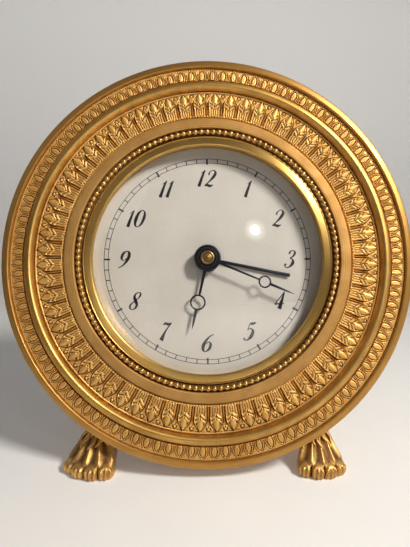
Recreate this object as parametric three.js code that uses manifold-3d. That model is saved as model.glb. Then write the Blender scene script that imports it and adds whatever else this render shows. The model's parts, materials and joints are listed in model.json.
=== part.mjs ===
// Round desk alarm clock in gilt bronze. A chased ring frame leans back on two lion paws and an easel strut,
// and a drum behind it holds an eight-day going train, the motion work of the hands and an alarm.
// Millimetres. The head is modelled upright, its face towards -Y and twelve o'clock towards +Z,
// and is then leant back.

import * as THREE from "three";
import { mergeVertices } from "three/addons/utils/BufferGeometryUtils.js";
import Module from "manifold-3d";

const deg = THREE.MathUtils.degToRad;

// Stance
const LEAN = deg(12);
const FRAME_CLEARANCE = 2.5; // lowest point of the frame above the table

// Fits
const SEAT = 0.3; // between pieces that are fixed to each other
const RUN = 0.4; // between a turning piece and its bearing
const PRESS = 0.2; // between an arbor or pipe and what is pushed on it
const STRIP_GAP = 0.2; // behind and beside a chased strip in its channel
const ROUND = 32; // facets of the large turned pieces
const SMALL_ROUND = 10; // facets of knobs, bosses and pipes
const PIVOT_ROUND = 6; // facets of arbors and their holes
const CURVE_STEPS = 5; // straight stretches of a curve in an outline

// Bezel widths, outwards from the sight edge
const SIGHT_RADIUS = 36.15;
const BEVEL_WIDTH = 2.7;
const BEAD_CHANNEL = 2.4;
const FLAT_WIDTH = 3.35;
const LANCET_WIDTH = 9.0;
const RIDGE_WIDTH = 3.25;
const LEAF_WIDTH = 3.95;
const RIM_WIDTH = 2.6;

// Bezel depths behind the flat ring, whose front is y = 0; crowns stand in front of it
const FRAME_BACK = 6.0;
const BACK_CHAMFER = 1.2;
const RIM_CROWN = 1.2;
const RIDGE_CROWN = 1.3;
const LEAF_FLOOR = 1.0;
const LANCET_FLOOR = 1.6;
const BEAD_SEAT = 1.5;
const BEVEL_FRONT = 0.9;
const BEVEL_DROP = 1.7;
const MOULDING_STEPS = 4;

// Chased strips and beads
const LANCET_COUNT = 64;
const BEAD_COUNT = 132;
const BEAD_RADIUS = 0.85;
const BEAD_NECK = 0.35;
const LANCET_RELIEF = 1.2;
const LEAF_RELIEF = 0.9;
const STRIP_THICKNESS = 0.35;

// Sight ring, glass and dial
const SIGHT_LIP = 0.4;
const SIGHT_WALL = 0.9;
const GLASS_RISE = 6.3;
const GLASS_THICKNESS = 1.2;
const GLASS_STEPS = 3;
const GLASS_ROUND = 24;
const SPACER_WIDTH = 1.9;
const DIAL_FRONT = 7.2;
const DIAL_THICKNESS = 1.0;
const DIAL_MARGIN = 1.5; // dial radius beyond the sight ring
const DIAL_FOOT_RADIUS = 0.8;
const DIAL_FOOT_CIRCLE = 36.5;
const DIAL_FOOT_ANGLES = [90, 210, 330];

// Drum and back
const DRUM_MARGIN = 3.0; // drum bore beyond the dial
const DRUM_WALL = 1.5;
const DRUM_FLANGE_WIDTH = 3.5;
const DRUM_FLANGE = 1.7;
const LEDGE_WIDTH = 2.3;
const LEDGE_THICKNESS = 2.0;
const COVER_THICKNESS = 1.2;

// Movement depths
const MOTION_SPACE = 5.2; // dial back to front plate
const PLATE_THICKNESS = 1.5;
const PLATE_SPACE = 16.0;
const KEYWORK_SPACE = 4.3; // back plate to back cover
const WHEEL_THICKNESS = 0.8;
const LAYER_GAP = 0.6;
const BARREL_END_GAP = 0.9;
const PILLAR_RADIUS = 2.0;
const PILLAR_WAIST = 1.5;
const PILLAR_CIRCLE = 33.0;
const PILLAR_ANGLES = { upper_right: 55, upper_left: 125, lower_left: 235, lower_right: 305 };

// Teeth: counts and modules of each meshing pair
const ADDENDUM = 0.6;
const DEDENDUM = 0.95;
const BARREL_TEETH = 36;
const BARREL_MODULE = 0.85;
const INTERMEDIATE_TEETH = 24;
const INTERMEDIATE_MODULE = 0.72;
const CENTRE_TEETH = 48;
const CENTRE_MODULE = 0.4;
const THIRD_TEETH = 45;
const THIRD_MODULE = 0.4;
const FOURTH_TEETH = 60;
const FOURTH_MODULE = 0.3;
const PINION_LEAVES = 6;
const ESCAPE_TEETH = 15;
const ESCAPE_RADIUS = 4.6;
const CANNON_LEAVES = 8;
const MINUTE_TEETH = 24;
const CANNON_MODULE = 0.55;
const HOUR_TEETH = 24;
const ALARM_SETTING_TEETH = 36;
const ALARM_SETTING_LEAVES = 12;
const ALARM_SETTING_MODULE = 0.6;
const ALARM_ESCAPE_TEETH = 18;
const ALARM_ESCAPE_RADIUS = 5.5;
const RATCHET_TEETH = 16;
const RATCHET_RADIUS = 6.0;
const SAW_DEPTH = 0.9;
const SAW_RAKE = 1 / 6; // share of the pitch from a tip to the root beside it

// Where each arbor lies from the one that drives it, degrees anticlockwise from three o'clock
const INTERMEDIATE_ANGLE = 215;
const BARREL_ANGLE = 127.2;
const THIRD_ANGLE = -60;
const FOURTH_ANGLE = -20;
const ESCAPE_ANGLE = -125;
const LEVER_ANGLE = 200;
const LEVER_DISTANCE = 6.6;
const BALANCE_ANGLE = 205;
const BALANCE_DISTANCE = 8.5;
const MINUTE_ANGLE = 200;
const ALARM_SETTING_ANGLE = 90;
const ALARM_ESCAPE_ANGLE = 140;
const HAMMER_ANGLE = 146;
const HAMMER_DISTANCE = 9.0;

// Arbors, barrels and springs
const PIVOT_RADIUS = 0.6;
const BARREL_ARBOR_RADIUS = 1.6;
const BARREL_HUB_RADIUS = 3.0;
const BARREL_RIM = 14.3;
const BARREL_WALL = 0.9;
const BARREL_FLOOR = 1.4;
const BARREL_COVER = 1.0;
const MAINSPRING_TURNS = 3;
const MAINSPRING_STRIP = 0.5;
const HAIRSPRING_TURNS = 3;
const HAIRSPRING_STRIP = 0.25;
const HAIRSPRING_HEIGHT = 0.7;
const HAIRSPRING_OUTER = 5.2;
const HAIRSPRING_INNER = 1.9;
const SPRING_STEPS = 10; // straight stretches in one turn
const CLICK_GAP = 0.7; // between a raised click and the ratchet's tips
const CLICK_LENGTH = 5.0;
const CLICK_WIDTH = 1.6;

// Escapement and alarm hammer
const PALLET_CLEARANCE = 1.3;
const PALLET_SPREAD = 40;
const PALLET_SIZE = 0.8;
const LEVER_TAIL = 6.4;
const BALANCE_RADIUS = 7.5;
const BALANCE_RIM = 1.0;
const BALANCE_THICKNESS = 1.2;
const BALANCE_BAR = 1.4;
const REGULATOR_RING = 2.6;
const REGULATOR_ARM = 7.5;
const REGULATOR_ANGLE = 225;
const REGULATOR_PIN = 0.6;
const REGULATOR_SWING = 12;
const HAMMER_BEND = deg(62); // arm from the line that runs out through its pivot
const HAMMER_HEAD_RADIUS = 2.2;
const HAMMER_HEAD_LENGTH = 4.0;
const HAMMER_REST_GAP = 3.5; // head to drum wall at rest
const VERGE_REACH = 2.5;

// Pipes that carry the hands
const CANNON_PIPE = 1.25;
const HOUR_PIPE = 2.35;
const ALARM_PIPE = 3.3;

// Hands: heights of their fronts above the dial, angles clockwise from twelve
const HAND_THICKNESS = 0.4;
const MINUTE_HAND = {
  height: 4.0, angle: 113, length: 30.0, boss: 4.2, ringAt: 20.1, ring: 2.0, shaft: 0.62,
};
const HOUR_HAND = {
  height: 2.15, angle: 192.5, length: 24.2, boss: 4.0, ringAt: 15.2, ring: 2.5, shaft: 0.75,
};
const ALARM_HAND = { height: 1.05, angle: 101.5, length: 27.0, boss: 4.15, shaft: 0.55 };
const RING_WIRE = 0.62; // width of the ring's own metal
const TIP_WIDTH = 0.55;
const HAND_ROUND = 14;
const CAP_RADIUS = 2.2;
const CAP_HEIGHT = 2.2;
const CAP_BORE_DEPTH = 1.2;

// Keys and knobs
const KEY_SPAN = 9.0;
const KEY_LOBE = 3.6;
const KEY_THICKNESS = 1.4;
const KEY_STEM = 3.0;
const KEY_STEM_LENGTH = 4.5;
const KEY_WING_LIFT = 5.2;
const KEY_WING_ARC = deg(135); // each side of a wing's tip
const KNOB_GAP = 0.8; // between the back cover and keys or knobs
const SETTING_KNOB_RADIUS = 4.6;
const ALARM_KNOB_RADIUS = 4.2;
const KNOB_HEIGHT = 5.0;
const KNOB_WAIST = 0.7;
const KNOB_ROUND = 16;

// Easel strut
const STRUT_OPEN = deg(38); // from the back of the drum
const HINGE_DROP = 14.0; // below the centre of the back
const HINGE_STANDOFF = 4.2; // from the bracket's base
const BRACKET_WIDTH = 18.0;
const BRACKET_HEIGHT = 12.0;
const BRACKET_BASE = 1.5;
const EAR_THICKNESS = 1.6;
const EAR_RADIUS = 3.0;
const HINGE_PIN_RADIUS = 1.2;
const HINGE_PIN_HEAD = 0.9;
const KNUCKLE_RADIUS = 2.4;
const KNUCKLE_LENGTH = 7.4;
const STRUT_THICKNESS = 2.2;
const STRUT_TOP = 7.0;
const STRUT_WAIST = 6.0;
const STRUT_FOOT_RADIUS = 2.2;
const STRUT_FOOT_LENGTH = 12.0;
const STRUT_FOOT_FLAT = 0.8; // cut off below the foot's round

// Paws
const PAW_ANGLE = 52.7; // ankle's top, degrees below three o'clock
const PAW_SPLAY = deg(3);
const PAW_TOES = [-5.7, -1.95, 1.95, 5.7];
const TOE_SIZE = new THREE.Vector3(2.4, 6.0, 3.0);
const TOE_PITCH = deg(26); // the knuckle end stands higher
const TOE_HEIGHT = 4.0;
const TOE_REACH = 7.0;
const TOE_LEAD = 1.8; // how far the middle toes lead
const CLAW_RADIUS = 0.9;
const CLAW_LENGTH = 3.6;
const CLAW_SIDES = 4;
const CLAW_PITCH = deg(-108); // point down and a little forwards
const SOLE_RADIUS = 7.2;
const SOLE_DEPTH = 5.4; // half of the sole, front to back
const INSTEP_HEIGHT = 11.5;
const INSTEP_LEAD = 4.6; // how far the sole lies in front of the ankle
const ANKLE_TOP_RADIUS = 3.8;
const ANKLE_RADIUS = 4.3;
const ANKLE_INSET = 7.75; // ankle's top from the frame's edge
const ANKLE_SINK = 3.3; // ankle's lower end in the instep
const LUG_WIDTH = 8.4;
const LUG_HEIGHT = 10.0;
const LUG_THICKNESS = 3.4;
const BALL_AROUND = 7;
const BALL_UP = 5;

// Derived radii
const SIGHT_OUTER = SIGHT_RADIUS + BEVEL_WIDTH;
const FRAME_BORE = SIGHT_OUTER + SEAT;
const FLAT_INNER = SIGHT_OUTER + BEAD_CHANNEL;
const FLAT_OUTER = FLAT_INNER + FLAT_WIDTH;
const LANCET_OUTER = FLAT_OUTER + LANCET_WIDTH;
const RIDGE_OUTER = LANCET_OUTER + RIDGE_WIDTH;
const LEAF_OUTER = RIDGE_OUTER + LEAF_WIDTH;
const FRAME_RADIUS = LEAF_OUTER + RIM_WIDTH;
const GLASS_RADIUS = SIGHT_OUTER - SIGHT_WALL - SEAT;
const DIAL_RADIUS = SIGHT_OUTER + DIAL_MARGIN;
const DRUM_BORE = DIAL_RADIUS + DRUM_MARGIN;
const DRUM_RADIUS = DRUM_BORE + DRUM_WALL;
const FRONT_PLATE_RADIUS = DRUM_BORE - SEAT;
const LEDGE_RADIUS = FRONT_PLATE_RADIUS - LEDGE_WIDTH;
const BACK_PLATE_RADIUS = LEDGE_RADIUS - RUN;

// Derived depths
const DIAL_BACK = DIAL_FRONT + DIAL_THICKNESS;
const FRONT_PLATE = DIAL_BACK + MOTION_SPACE;
const FRONT_PLATE_BACK = FRONT_PLATE + PLATE_THICKNESS;
const BACK_PLATE = FRONT_PLATE_BACK + PLATE_SPACE;
const BACK_PLATE_BACK = BACK_PLATE + PLATE_THICKNESS;
const COVER = BACK_PLATE_BACK + KEYWORK_SPACE;
const COVER_BACK = COVER + COVER_THICKNESS;
const LAYER = WHEEL_THICKNESS + LAYER_GAP;
const LAYER_A = FRONT_PLATE_BACK + LAYER_GAP + SEAT;
const LAYER_B = LAYER_A + LAYER;
const LAYER_C = LAYER_B + LAYER;
const BARREL = LAYER_C + LAYER + LAYER_GAP + PRESS;
const BARREL_BACK = BACK_PLATE - BARREL_END_GAP;
const LAYER_D = BARREL + BARREL_FLOOR + SEAT;
const ALARM_WHEEL = DIAL_BACK + LAYER_GAP;
const HOUR_WHEEL = ALARM_WHEEL + LAYER;
const MINUTE_WHEEL = HOUR_WHEEL + LAYER;
const RATCHET = BACK_PLATE_BACK + RUN;
const KNOB_FRONT = COVER_BACK + KNOB_GAP;
const HINGE_Y = COVER_BACK + SEAT + BRACKET_BASE + HINGE_STANDOFF;
const HEAD_HEIGHT =
  FRAME_CLEARANCE + (FRAME_BACK - BACK_CHAMFER) * Math.sin(LEAN) + FRAME_RADIUS * Math.cos(LEAN);
const ANKLE_DEPTH = FRAME_BACK + SEAT + ANKLE_RADIUS;
const ANKLE_BOTTOM =
  (INSTEP_HEIGHT - ANKLE_SINK + ANKLE_DEPTH * Math.sin(LEAN) - HEAD_HEIGHT) / Math.cos(LEAN);

const material = (color, roughness, metalness, opacity = 1) =>
  new THREE.MeshStandardMaterial({ color, roughness, metalness, opacity, transparent: opacity < 1 });
const GILT = material(0xc9943f, 0.34, 1);
const GILT_CHASED = material(0xb9803a, 0.46, 1);
const BRASS = material(0xb8a04e, 0.4, 1);
const STEEL = material(0x9a9ea3, 0.35, 1);
const BLUED = material(0x1a1c28, 0.3, 0.9);
const ENAMEL = material(0xe6e3df, 0.25, 0);
const GLASS = material(0xf2f6f5, 0.03, 0, 0.15);

const wasm = await Module();
wasm.setup();
const MERGE = 1e-4;

// The same geometry with shared vertices, no collapsed triangles and its faces pointing out
function closed(geometry) {
  const bare = new THREE.BufferGeometry();
  bare.setAttribute("position", geometry.getAttribute("position"));
  bare.setIndex(geometry.index);
  const merged = mergeVertices(bare, MERGE);
  const corners = Array.from(merged.index.array);
  const place = merged.getAttribute("position");
  const [a, b, c] = [new THREE.Vector3(), new THREE.Vector3(), new THREE.Vector3()];
  const kept = [];
  let volume = 0;
  for (let i = 0; i < corners.length; i += 3) {
    const [p, q, r] = corners.slice(i, i + 3);
    if (p === q || q === r || r === p) continue;
    kept.push([p, q, r]);
    const normal = b.fromBufferAttribute(place, q).cross(c.fromBufferAttribute(place, r));
    volume += a.fromBufferAttribute(place, p).dot(normal);
  }
  merged.setIndex(kept.flatMap(([p, q, r]) => (volume > 0 ? [p, q, r] : [p, r, q])));
  return merged;
}

function toSolid(geometry) {
  const mesh = closed(geometry);
  const vertProperties = Float32Array.from(mesh.getAttribute("position").array);
  const triVerts = Uint32Array.from(mesh.index.array);
  return new wasm.Manifold(new wasm.Mesh({ numProp: 3, vertProperties, triVerts }));
}

function toGeometry(solid) {
  const { vertProperties, triVerts } = solid.getMesh();
  const geometry = new THREE.BufferGeometry();
  geometry.setAttribute("position", new THREE.BufferAttribute(vertProperties, 3));
  geometry.setIndex(new THREE.BufferAttribute(triVerts, 1));
  return geometry;
}

const join = (...pieces) => toGeometry(pieces.map(toSolid).reduce((all, next) => all.add(next)));
const cut = (body, tool) => toGeometry(toSolid(body).subtract(toSolid(tool)));

// Radius that a round piece must keep to inside a facetted bore
const inscribed = (radius) => radius * Math.cos(Math.PI / ROUND);

// Turned solid about Y from [radius, y] points; the profile closes on itself unless it starts on the axis
function revolve(profile, segments = ROUND) {
  const points = profile.map(([radius, y]) => new THREE.Vector2(radius, y));
  if (profile[0][0] > 0) points.push(points[0].clone());
  return closed(new THREE.LatheGeometry(points, segments));
}

// Flat piece from an outline in the front view, from depth front to front + thickness
function slab(shape, front, thickness) {
  const flat = { depth: thickness, bevelEnabled: false, curveSegments: CURVE_STEPS };
  const geometry = new THREE.ExtrudeGeometry(shape, flat);
  return geometry.rotateX(Math.PI / 2).translate(0, front + thickness, 0);
}

const polar = ([x, z], distance, angle) =>
  [x + distance * Math.cos(deg(angle)), z + distance * Math.sin(deg(angle))];
const apart = ([x, z], [u, w]) => Math.hypot(u - x, w - z);
const corners = (points) => points.map(([x, z]) => new THREE.Vector2(x, z));
const outline = (points, ...holes) => {
  const shape = new THREE.Shape(corners(points));
  shape.holes = holes.map((hole) => new THREE.Path(corners(hole)));
  return shape;
};
const ngon = (radius, sides, centre = [0, 0]) =>
  Array.from({ length: sides }, (_, k) => polar(centre, radius, 90 + (360 * k) / sides));

// Round bar along Y
function rod(radius, from, to, sides = PIVOT_ROUND, [x, z] = [0, 0]) {
  return new THREE.CylinderGeometry(radius, radius, to - from, sides).translate(x, (from + to) / 2, z);
}

// Round bar along X
function crossbar(radius, length, sides, y, z, x = 0) {
  return new THREE.CylinderGeometry(radius, radius, length, sides).rotateZ(Math.PI / 2).translate(x, y, z);
}

// Half-ellipse of a moulding from the outer radius to the inner one, rising to its crown
function moulding(outer, inner, floor, crown) {
  const middle = (outer + inner) / 2;
  return Array.from({ length: MOULDING_STEPS + 1 }, (_, k) => {
    const turn = (Math.PI * k) / MOULDING_STEPS;
    return [middle + ((outer - inner) / 2) * Math.cos(turn), floor - (crown + floor) * Math.sin(turn)];
  });
}

// Strip round the axis whose closed [radius, y] profile alternates from step to step
function pleat(steps, profileAt) {
  const positions = [];
  const faces = [];
  const count = profileAt(0).length;
  for (let k = 0; k < steps; k += 1) {
    const angle = (2 * Math.PI * k) / steps;
    for (const [radius, y] of profileAt(k)) {
      positions.push(radius * Math.sin(angle), y, radius * Math.cos(angle));
    }
    for (let j = 0; j < count; j += 1) {
      const here = k * count;
      const next = ((k + 1) % steps) * count;
      const up = (j + 1) % count;
      faces.push(here + j, here + up, next + up, here + j, next + up, next + j);
    }
  }
  const geometry = new THREE.BufferGeometry();
  geometry.setAttribute("position", new THREE.Float32BufferAttribute(positions, 3));
  geometry.setIndex(faces);
  return closed(geometry);
}

// Wheels and pinions
const pitchRadius = ({ teeth, module }) => (teeth * module) / 2;
const tipRadius = (gear) => pitchRadius(gear) + ADDENDUM * gear.module;
const rootRadius = (gear) => pitchRadius(gear) - DEDENDUM * gear.module;
const centres = (a, b) => pitchRadius(a) + pitchRadius(b);
const gear = (teeth, module, phase = 0) => ({ teeth, module, phase });

function teeth(wheel) {
  const points = [];
  for (let k = 0; k < wheel.teeth; k += 1) {
    const tip = wheel.phase + (360 * k) / wheel.teeth;
    const root = tip + 180 / wheel.teeth;
    points.push(polar([0, 0], tipRadius(wheel), tip), polar([0, 0], rootRadius(wheel), root));
  }
  return points;
}

// Driven gear with a gap where the driver, which lies at the given angle behind it, has a tooth
function meshed(driver, angle, count) {
  const pitches = ((angle - driver.phase) * driver.teeth) / 360;
  const behind = pitches - Math.floor(pitches);
  return gear(count, driver.module, angle + 180 + ((behind + 0.5) * 360) / count);
}

const wheelSlab = (wheel, front, thickness, bore = 0) =>
  slab(outline(teeth(wheel), ...(bore ? [ngon(bore, SMALL_ROUND)] : [])), front, thickness);

// Ring of raked teeth, for ratchets and escape wheels
function sawTeeth(count, radius) {
  const points = [];
  for (let k = 0; k < count; k += 1) {
    const tip = (360 * k) / count;
    const root = tip + (360 * SAW_RAKE) / count;
    points.push(polar([0, 0], radius, tip), polar([0, 0], radius - SAW_DEPTH, root));
  }
  return points;
}

// Flat spiral strip with its outer end at three o'clock
function spiral(inner, outer, turns, width) {
  const steps = turns * SPRING_STEPS;
  const side = (offset) =>
    Array.from({ length: steps + 1 }, (_, k) =>
      polar([0, 0], outer - ((outer - inner) * k) / steps + offset, (-360 * k) / SPRING_STEPS));
  return outline([...side(width / 2), ...side(-width / 2).reverse()]);
}

// Gear train, each pair in mesh at rest
const CENTRE = [0, 0];
const centreWheel = gear(CENTRE_TEETH, CENTRE_MODULE);
const thirdPinion = meshed(centreWheel, THIRD_ANGLE, PINION_LEAVES);
const thirdWheel = gear(THIRD_TEETH, THIRD_MODULE);
const fourthPinion = meshed(thirdWheel, FOURTH_ANGLE, PINION_LEAVES);
const fourthWheel = gear(FOURTH_TEETH, FOURTH_MODULE);
const escapePinion = meshed(fourthWheel, ESCAPE_ANGLE, PINION_LEAVES);
const centrePinion = gear(PINION_LEAVES, INTERMEDIATE_MODULE);
const intermediateWheel = meshed(centrePinion, INTERMEDIATE_ANGLE, INTERMEDIATE_TEETH);
const intermediatePinion = gear(PINION_LEAVES, BARREL_MODULE);
const timeBarrel = meshed(intermediatePinion, BARREL_ANGLE, BARREL_TEETH);
const alarmBarrel = gear(BARREL_TEETH, BARREL_MODULE);
const alarmPinion = meshed(alarmBarrel, ALARM_ESCAPE_ANGLE, PINION_LEAVES);
const cannonPinion = gear(CANNON_LEAVES, CANNON_MODULE);
const minuteWheel = meshed(cannonPinion, MINUTE_ANGLE, MINUTE_TEETH);
const HOUR_MODULE = (2 * centres(cannonPinion, minuteWheel)) / (PINION_LEAVES + HOUR_TEETH);
const hourWheel = gear(HOUR_TEETH, HOUR_MODULE);
const minutePinion = meshed(hourWheel, MINUTE_ANGLE, PINION_LEAVES);
const alarmSettingWheel = gear(ALARM_SETTING_TEETH, ALARM_SETTING_MODULE);
const alarmSettingPinion = meshed(alarmSettingWheel, ALARM_SETTING_ANGLE, ALARM_SETTING_LEAVES);

// Arbor places in the front view
const INTERMEDIATE_AT = polar(CENTRE, centres(centrePinion, intermediateWheel), INTERMEDIATE_ANGLE);
const TIME_BARREL_AT = polar(INTERMEDIATE_AT, centres(intermediatePinion, timeBarrel), BARREL_ANGLE);
const ALARM_BARREL_AT = [-TIME_BARREL_AT[0], TIME_BARREL_AT[1]];
const THIRD_AT = polar(CENTRE, centres(centreWheel, thirdPinion), THIRD_ANGLE);
const FOURTH_AT = polar(THIRD_AT, centres(thirdWheel, fourthPinion), FOURTH_ANGLE);
const ESCAPE_AT = polar(FOURTH_AT, centres(fourthWheel, escapePinion), ESCAPE_ANGLE);
const LEVER_AT = polar(ESCAPE_AT, LEVER_DISTANCE, LEVER_ANGLE);
const BALANCE_AT = polar(LEVER_AT, BALANCE_DISTANCE, BALANCE_ANGLE);
const MINUTE_AT = polar(CENTRE, centres(cannonPinion, minuteWheel), MINUTE_ANGLE);
const ALARM_SETTING_AT = polar(CENTRE, centres(alarmSettingWheel, alarmSettingPinion), ALARM_SETTING_ANGLE);
const ALARM_ESCAPE_AT = polar(ALARM_BARREL_AT, centres(alarmBarrel, alarmPinion), ALARM_ESCAPE_ANGLE);
const HAMMER_AT = polar(ALARM_ESCAPE_AT, HAMMER_DISTANCE, HAMMER_ANGLE);
const REGULATOR_PIN_AT = polar(BALANCE_AT, REGULATOR_ARM, REGULATOR_ANGLE);
const CLICK_PIVOT = RATCHET_RADIUS + CLICK_GAP + CLICK_WIDTH / 2;
const TIME_CLICK_AT = [TIME_BARREL_AT[0], TIME_BARREL_AT[1] - CLICK_PIVOT];
const ALARM_CLICK_AT = [ALARM_BARREL_AT[0], ALARM_BARREL_AT[1] - CLICK_PIVOT];
const [PAW_SPREAD, ANKLE_TOP] = polar(CENTRE, FRAME_RADIUS - ANKLE_INSET, -PAW_ANGLE);
const DIAL_FEET = DIAL_FOOT_ANGLES.map((angle) => polar(CENTRE, DIAL_FOOT_CIRCLE, angle));

const clock = new THREE.Group();
const head = new THREE.Group();
head.rotation.x = -LEAN;
head.position.z = HEAD_HEIGHT;
clock.add(head);

function put(group, name, geometry, finish, [x, z] = [0, 0], turn = 0) {
  const mesh = new THREE.Mesh(geometry, finish);
  mesh.name = name;
  mesh.position.set(x, 0, z);
  mesh.rotation.y = turn;
  group.add(mesh);
  return mesh;
}

// Bezel: turned frame, two chased strips, bead ring and sight ring
function addBezel() {
  put(head, "front_frame", revolve([
    [FRAME_RADIUS - BACK_CHAMFER, FRAME_BACK],
    [FRAME_RADIUS, FRAME_BACK - BACK_CHAMFER],
    ...moulding(FRAME_RADIUS, LEAF_OUTER, LEAF_FLOOR, RIM_CROWN),
    ...moulding(RIDGE_OUTER, LANCET_OUTER, LEAF_FLOOR, RIDGE_CROWN),
    [LANCET_OUTER, LANCET_FLOOR],
    [FLAT_OUTER, LANCET_FLOOR],
    [FLAT_OUTER, 0],
    [FLAT_INNER, 0],
    [FLAT_INNER, BEAD_SEAT],
    [FRAME_BORE, BEAD_SEAT],
    [FRAME_BORE, FRAME_BACK],
  ]), GILT);

  const leafBack = LEAF_FLOOR - STRIP_GAP;
  put(head, "outer_leaf_band", revolve([
    [RIDGE_OUTER + STRIP_GAP, leafBack],
    [(RIDGE_OUTER + LEAF_OUTER) / 2, leafBack - LEAF_RELIEF],
    [LEAF_OUTER - STRIP_GAP, leafBack],
  ]), GILT_CHASED);

  const lancetBack = LANCET_FLOOR - STRIP_GAP;
  const lancetInner = FLAT_OUTER + STRIP_GAP;
  const lancetOuter = inscribed(LANCET_OUTER) - STRIP_GAP;
  put(head, "lancet_leaf_band", pleat(2 * LANCET_COUNT, (k) => [
    [lancetInner, lancetBack],
    [lancetInner, lancetBack - (k % 2 ? STRIP_THICKNESS : LANCET_RELIEF / 2)],
    [(lancetInner + lancetOuter) / 2, lancetBack - (k % 2 ? STRIP_THICKNESS : LANCET_RELIEF)],
    [lancetOuter, lancetBack],
  ]), GILT_CHASED);

  const beadCircle = SIGHT_OUTER + BEAD_CHANNEL / 2;
  const beadDepth = BEAD_SEAT - SEAT - BEAD_RADIUS / 2;
  put(head, "bead_ring", pleat(2 * BEAD_COUNT, (k) => {
    const radius = k % 2 ? BEAD_NECK : BEAD_RADIUS;
    return [
      [beadCircle - radius, beadDepth + radius / 2],
      [beadCircle, beadDepth - radius],
      [beadCircle + radius, beadDepth + radius / 2],
    ];
  }), GILT);

  put(head, "sight_ring", revolve([
    [SIGHT_OUTER, BEVEL_FRONT],
    [SIGHT_RADIUS, BEVEL_FRONT + BEVEL_DROP],
    [SIGHT_RADIUS, glassFront(SIGHT_RADIUS) - SEAT],
    [SIGHT_OUTER - SIGHT_WALL, glassFront(SIGHT_OUTER - SIGHT_WALL) - SEAT],
    [SIGHT_OUTER - SIGHT_WALL, glassFront(GLASS_RADIUS) + GLASS_THICKNESS],
    [SIGHT_OUTER, glassFront(GLASS_RADIUS) + GLASS_THICKNESS],
  ]), BRASS);
}

// Depth of the dome's outer face, which clears the sight edge by the lip and its seat
function glassFront(radius) {
  const sphere = (GLASS_RADIUS ** 2 + GLASS_RISE ** 2) / (2 * GLASS_RISE);
  const sag = (r) => sphere - Math.sqrt(sphere ** 2 - r ** 2);
  return BEVEL_FRONT + BEVEL_DROP + SIGHT_LIP + SEAT + sag(radius) - sag(SIGHT_RADIUS);
}

function addGlassAndDial() {
  const dome = (depth) =>
    Array.from({ length: GLASS_STEPS + 1 }, (_, k) => {
      const radius = (GLASS_RADIUS * k) / GLASS_STEPS;
      return [radius, glassFront(radius) + depth];
    });
  put(head, "glass", revolve([...dome(0), ...dome(GLASS_THICKNESS).reverse()], GLASS_ROUND), GLASS);

  const spacerFront = glassFront(GLASS_RADIUS) + GLASS_THICKNESS + SEAT;
  put(head, "dial_spacer", revolve([
    [SIGHT_OUTER, spacerFront],
    [SIGHT_OUTER - SPACER_WIDTH, spacerFront],
    [SIGHT_OUTER - SPACER_WIDTH, DIAL_FRONT - SEAT],
    [SIGHT_OUTER, DIAL_FRONT - SEAT],
  ]), BRASS);

  const plate = outline(ngon(DIAL_RADIUS, ROUND), ngon(ALARM_PIPE + RUN, SMALL_ROUND));
  const feet = DIAL_FEET.map((at) =>
    rod(DIAL_FOOT_RADIUS, DIAL_BACK - DIAL_THICKNESS / 2, FRONT_PLATE_BACK - SEAT, PIVOT_ROUND, at));
  put(head, "dial", join(slab(plate, DIAL_FRONT, DIAL_THICKNESS), ...feet), ENAMEL);
}

// Drum with a front flange and an inner ledge that the front plate rests on, closed by the back cover
function addDrum() {
  const front = FRAME_BACK + SEAT;
  const ledge = FRONT_PLATE_BACK + SEAT;
  const end = COVER - SEAT;
  put(head, "drum", revolve([
    [DRUM_BORE, front],
    [DRUM_RADIUS + DRUM_FLANGE_WIDTH, front],
    [DRUM_RADIUS + DRUM_FLANGE_WIDTH, front + DRUM_FLANGE],
    [DRUM_RADIUS, front + DRUM_FLANGE],
    [DRUM_RADIUS, end],
    [DRUM_BORE, end],
    [DRUM_BORE, ledge + LEDGE_THICKNESS],
    [LEDGE_RADIUS, ledge],
    [DRUM_BORE, ledge],
  ]), GILT);

  const barrelHole = BARREL_ARBOR_RADIUS + RUN;
  const slotLength = 2 * REGULATOR_ARM * Math.tan(deg(REGULATOR_SWING)) + 4 * REGULATOR_PIN;
  const slot = new THREE.BoxGeometry(slotLength, 4 * COVER_THICKNESS, 2 * (REGULATOR_PIN + RUN));
  slot.rotateY(deg(90 - REGULATOR_ANGLE)).translate(REGULATOR_PIN_AT[0], COVER, REGULATOR_PIN_AT[1]);
  const disc = slab(outline(
    ngon(DRUM_RADIUS, ROUND),
    ngon(PIVOT_RADIUS + RUN, PIVOT_ROUND, CENTRE),
    ngon(PIVOT_RADIUS + RUN, PIVOT_ROUND, ALARM_SETTING_AT),
    ngon(barrelHole, PIVOT_ROUND, TIME_BARREL_AT),
    ngon(barrelHole, PIVOT_ROUND, ALARM_BARREL_AT),
  ), COVER, COVER_THICKNESS);
  put(head, "back_cover", cut(disc, slot), GILT);
}

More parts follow.
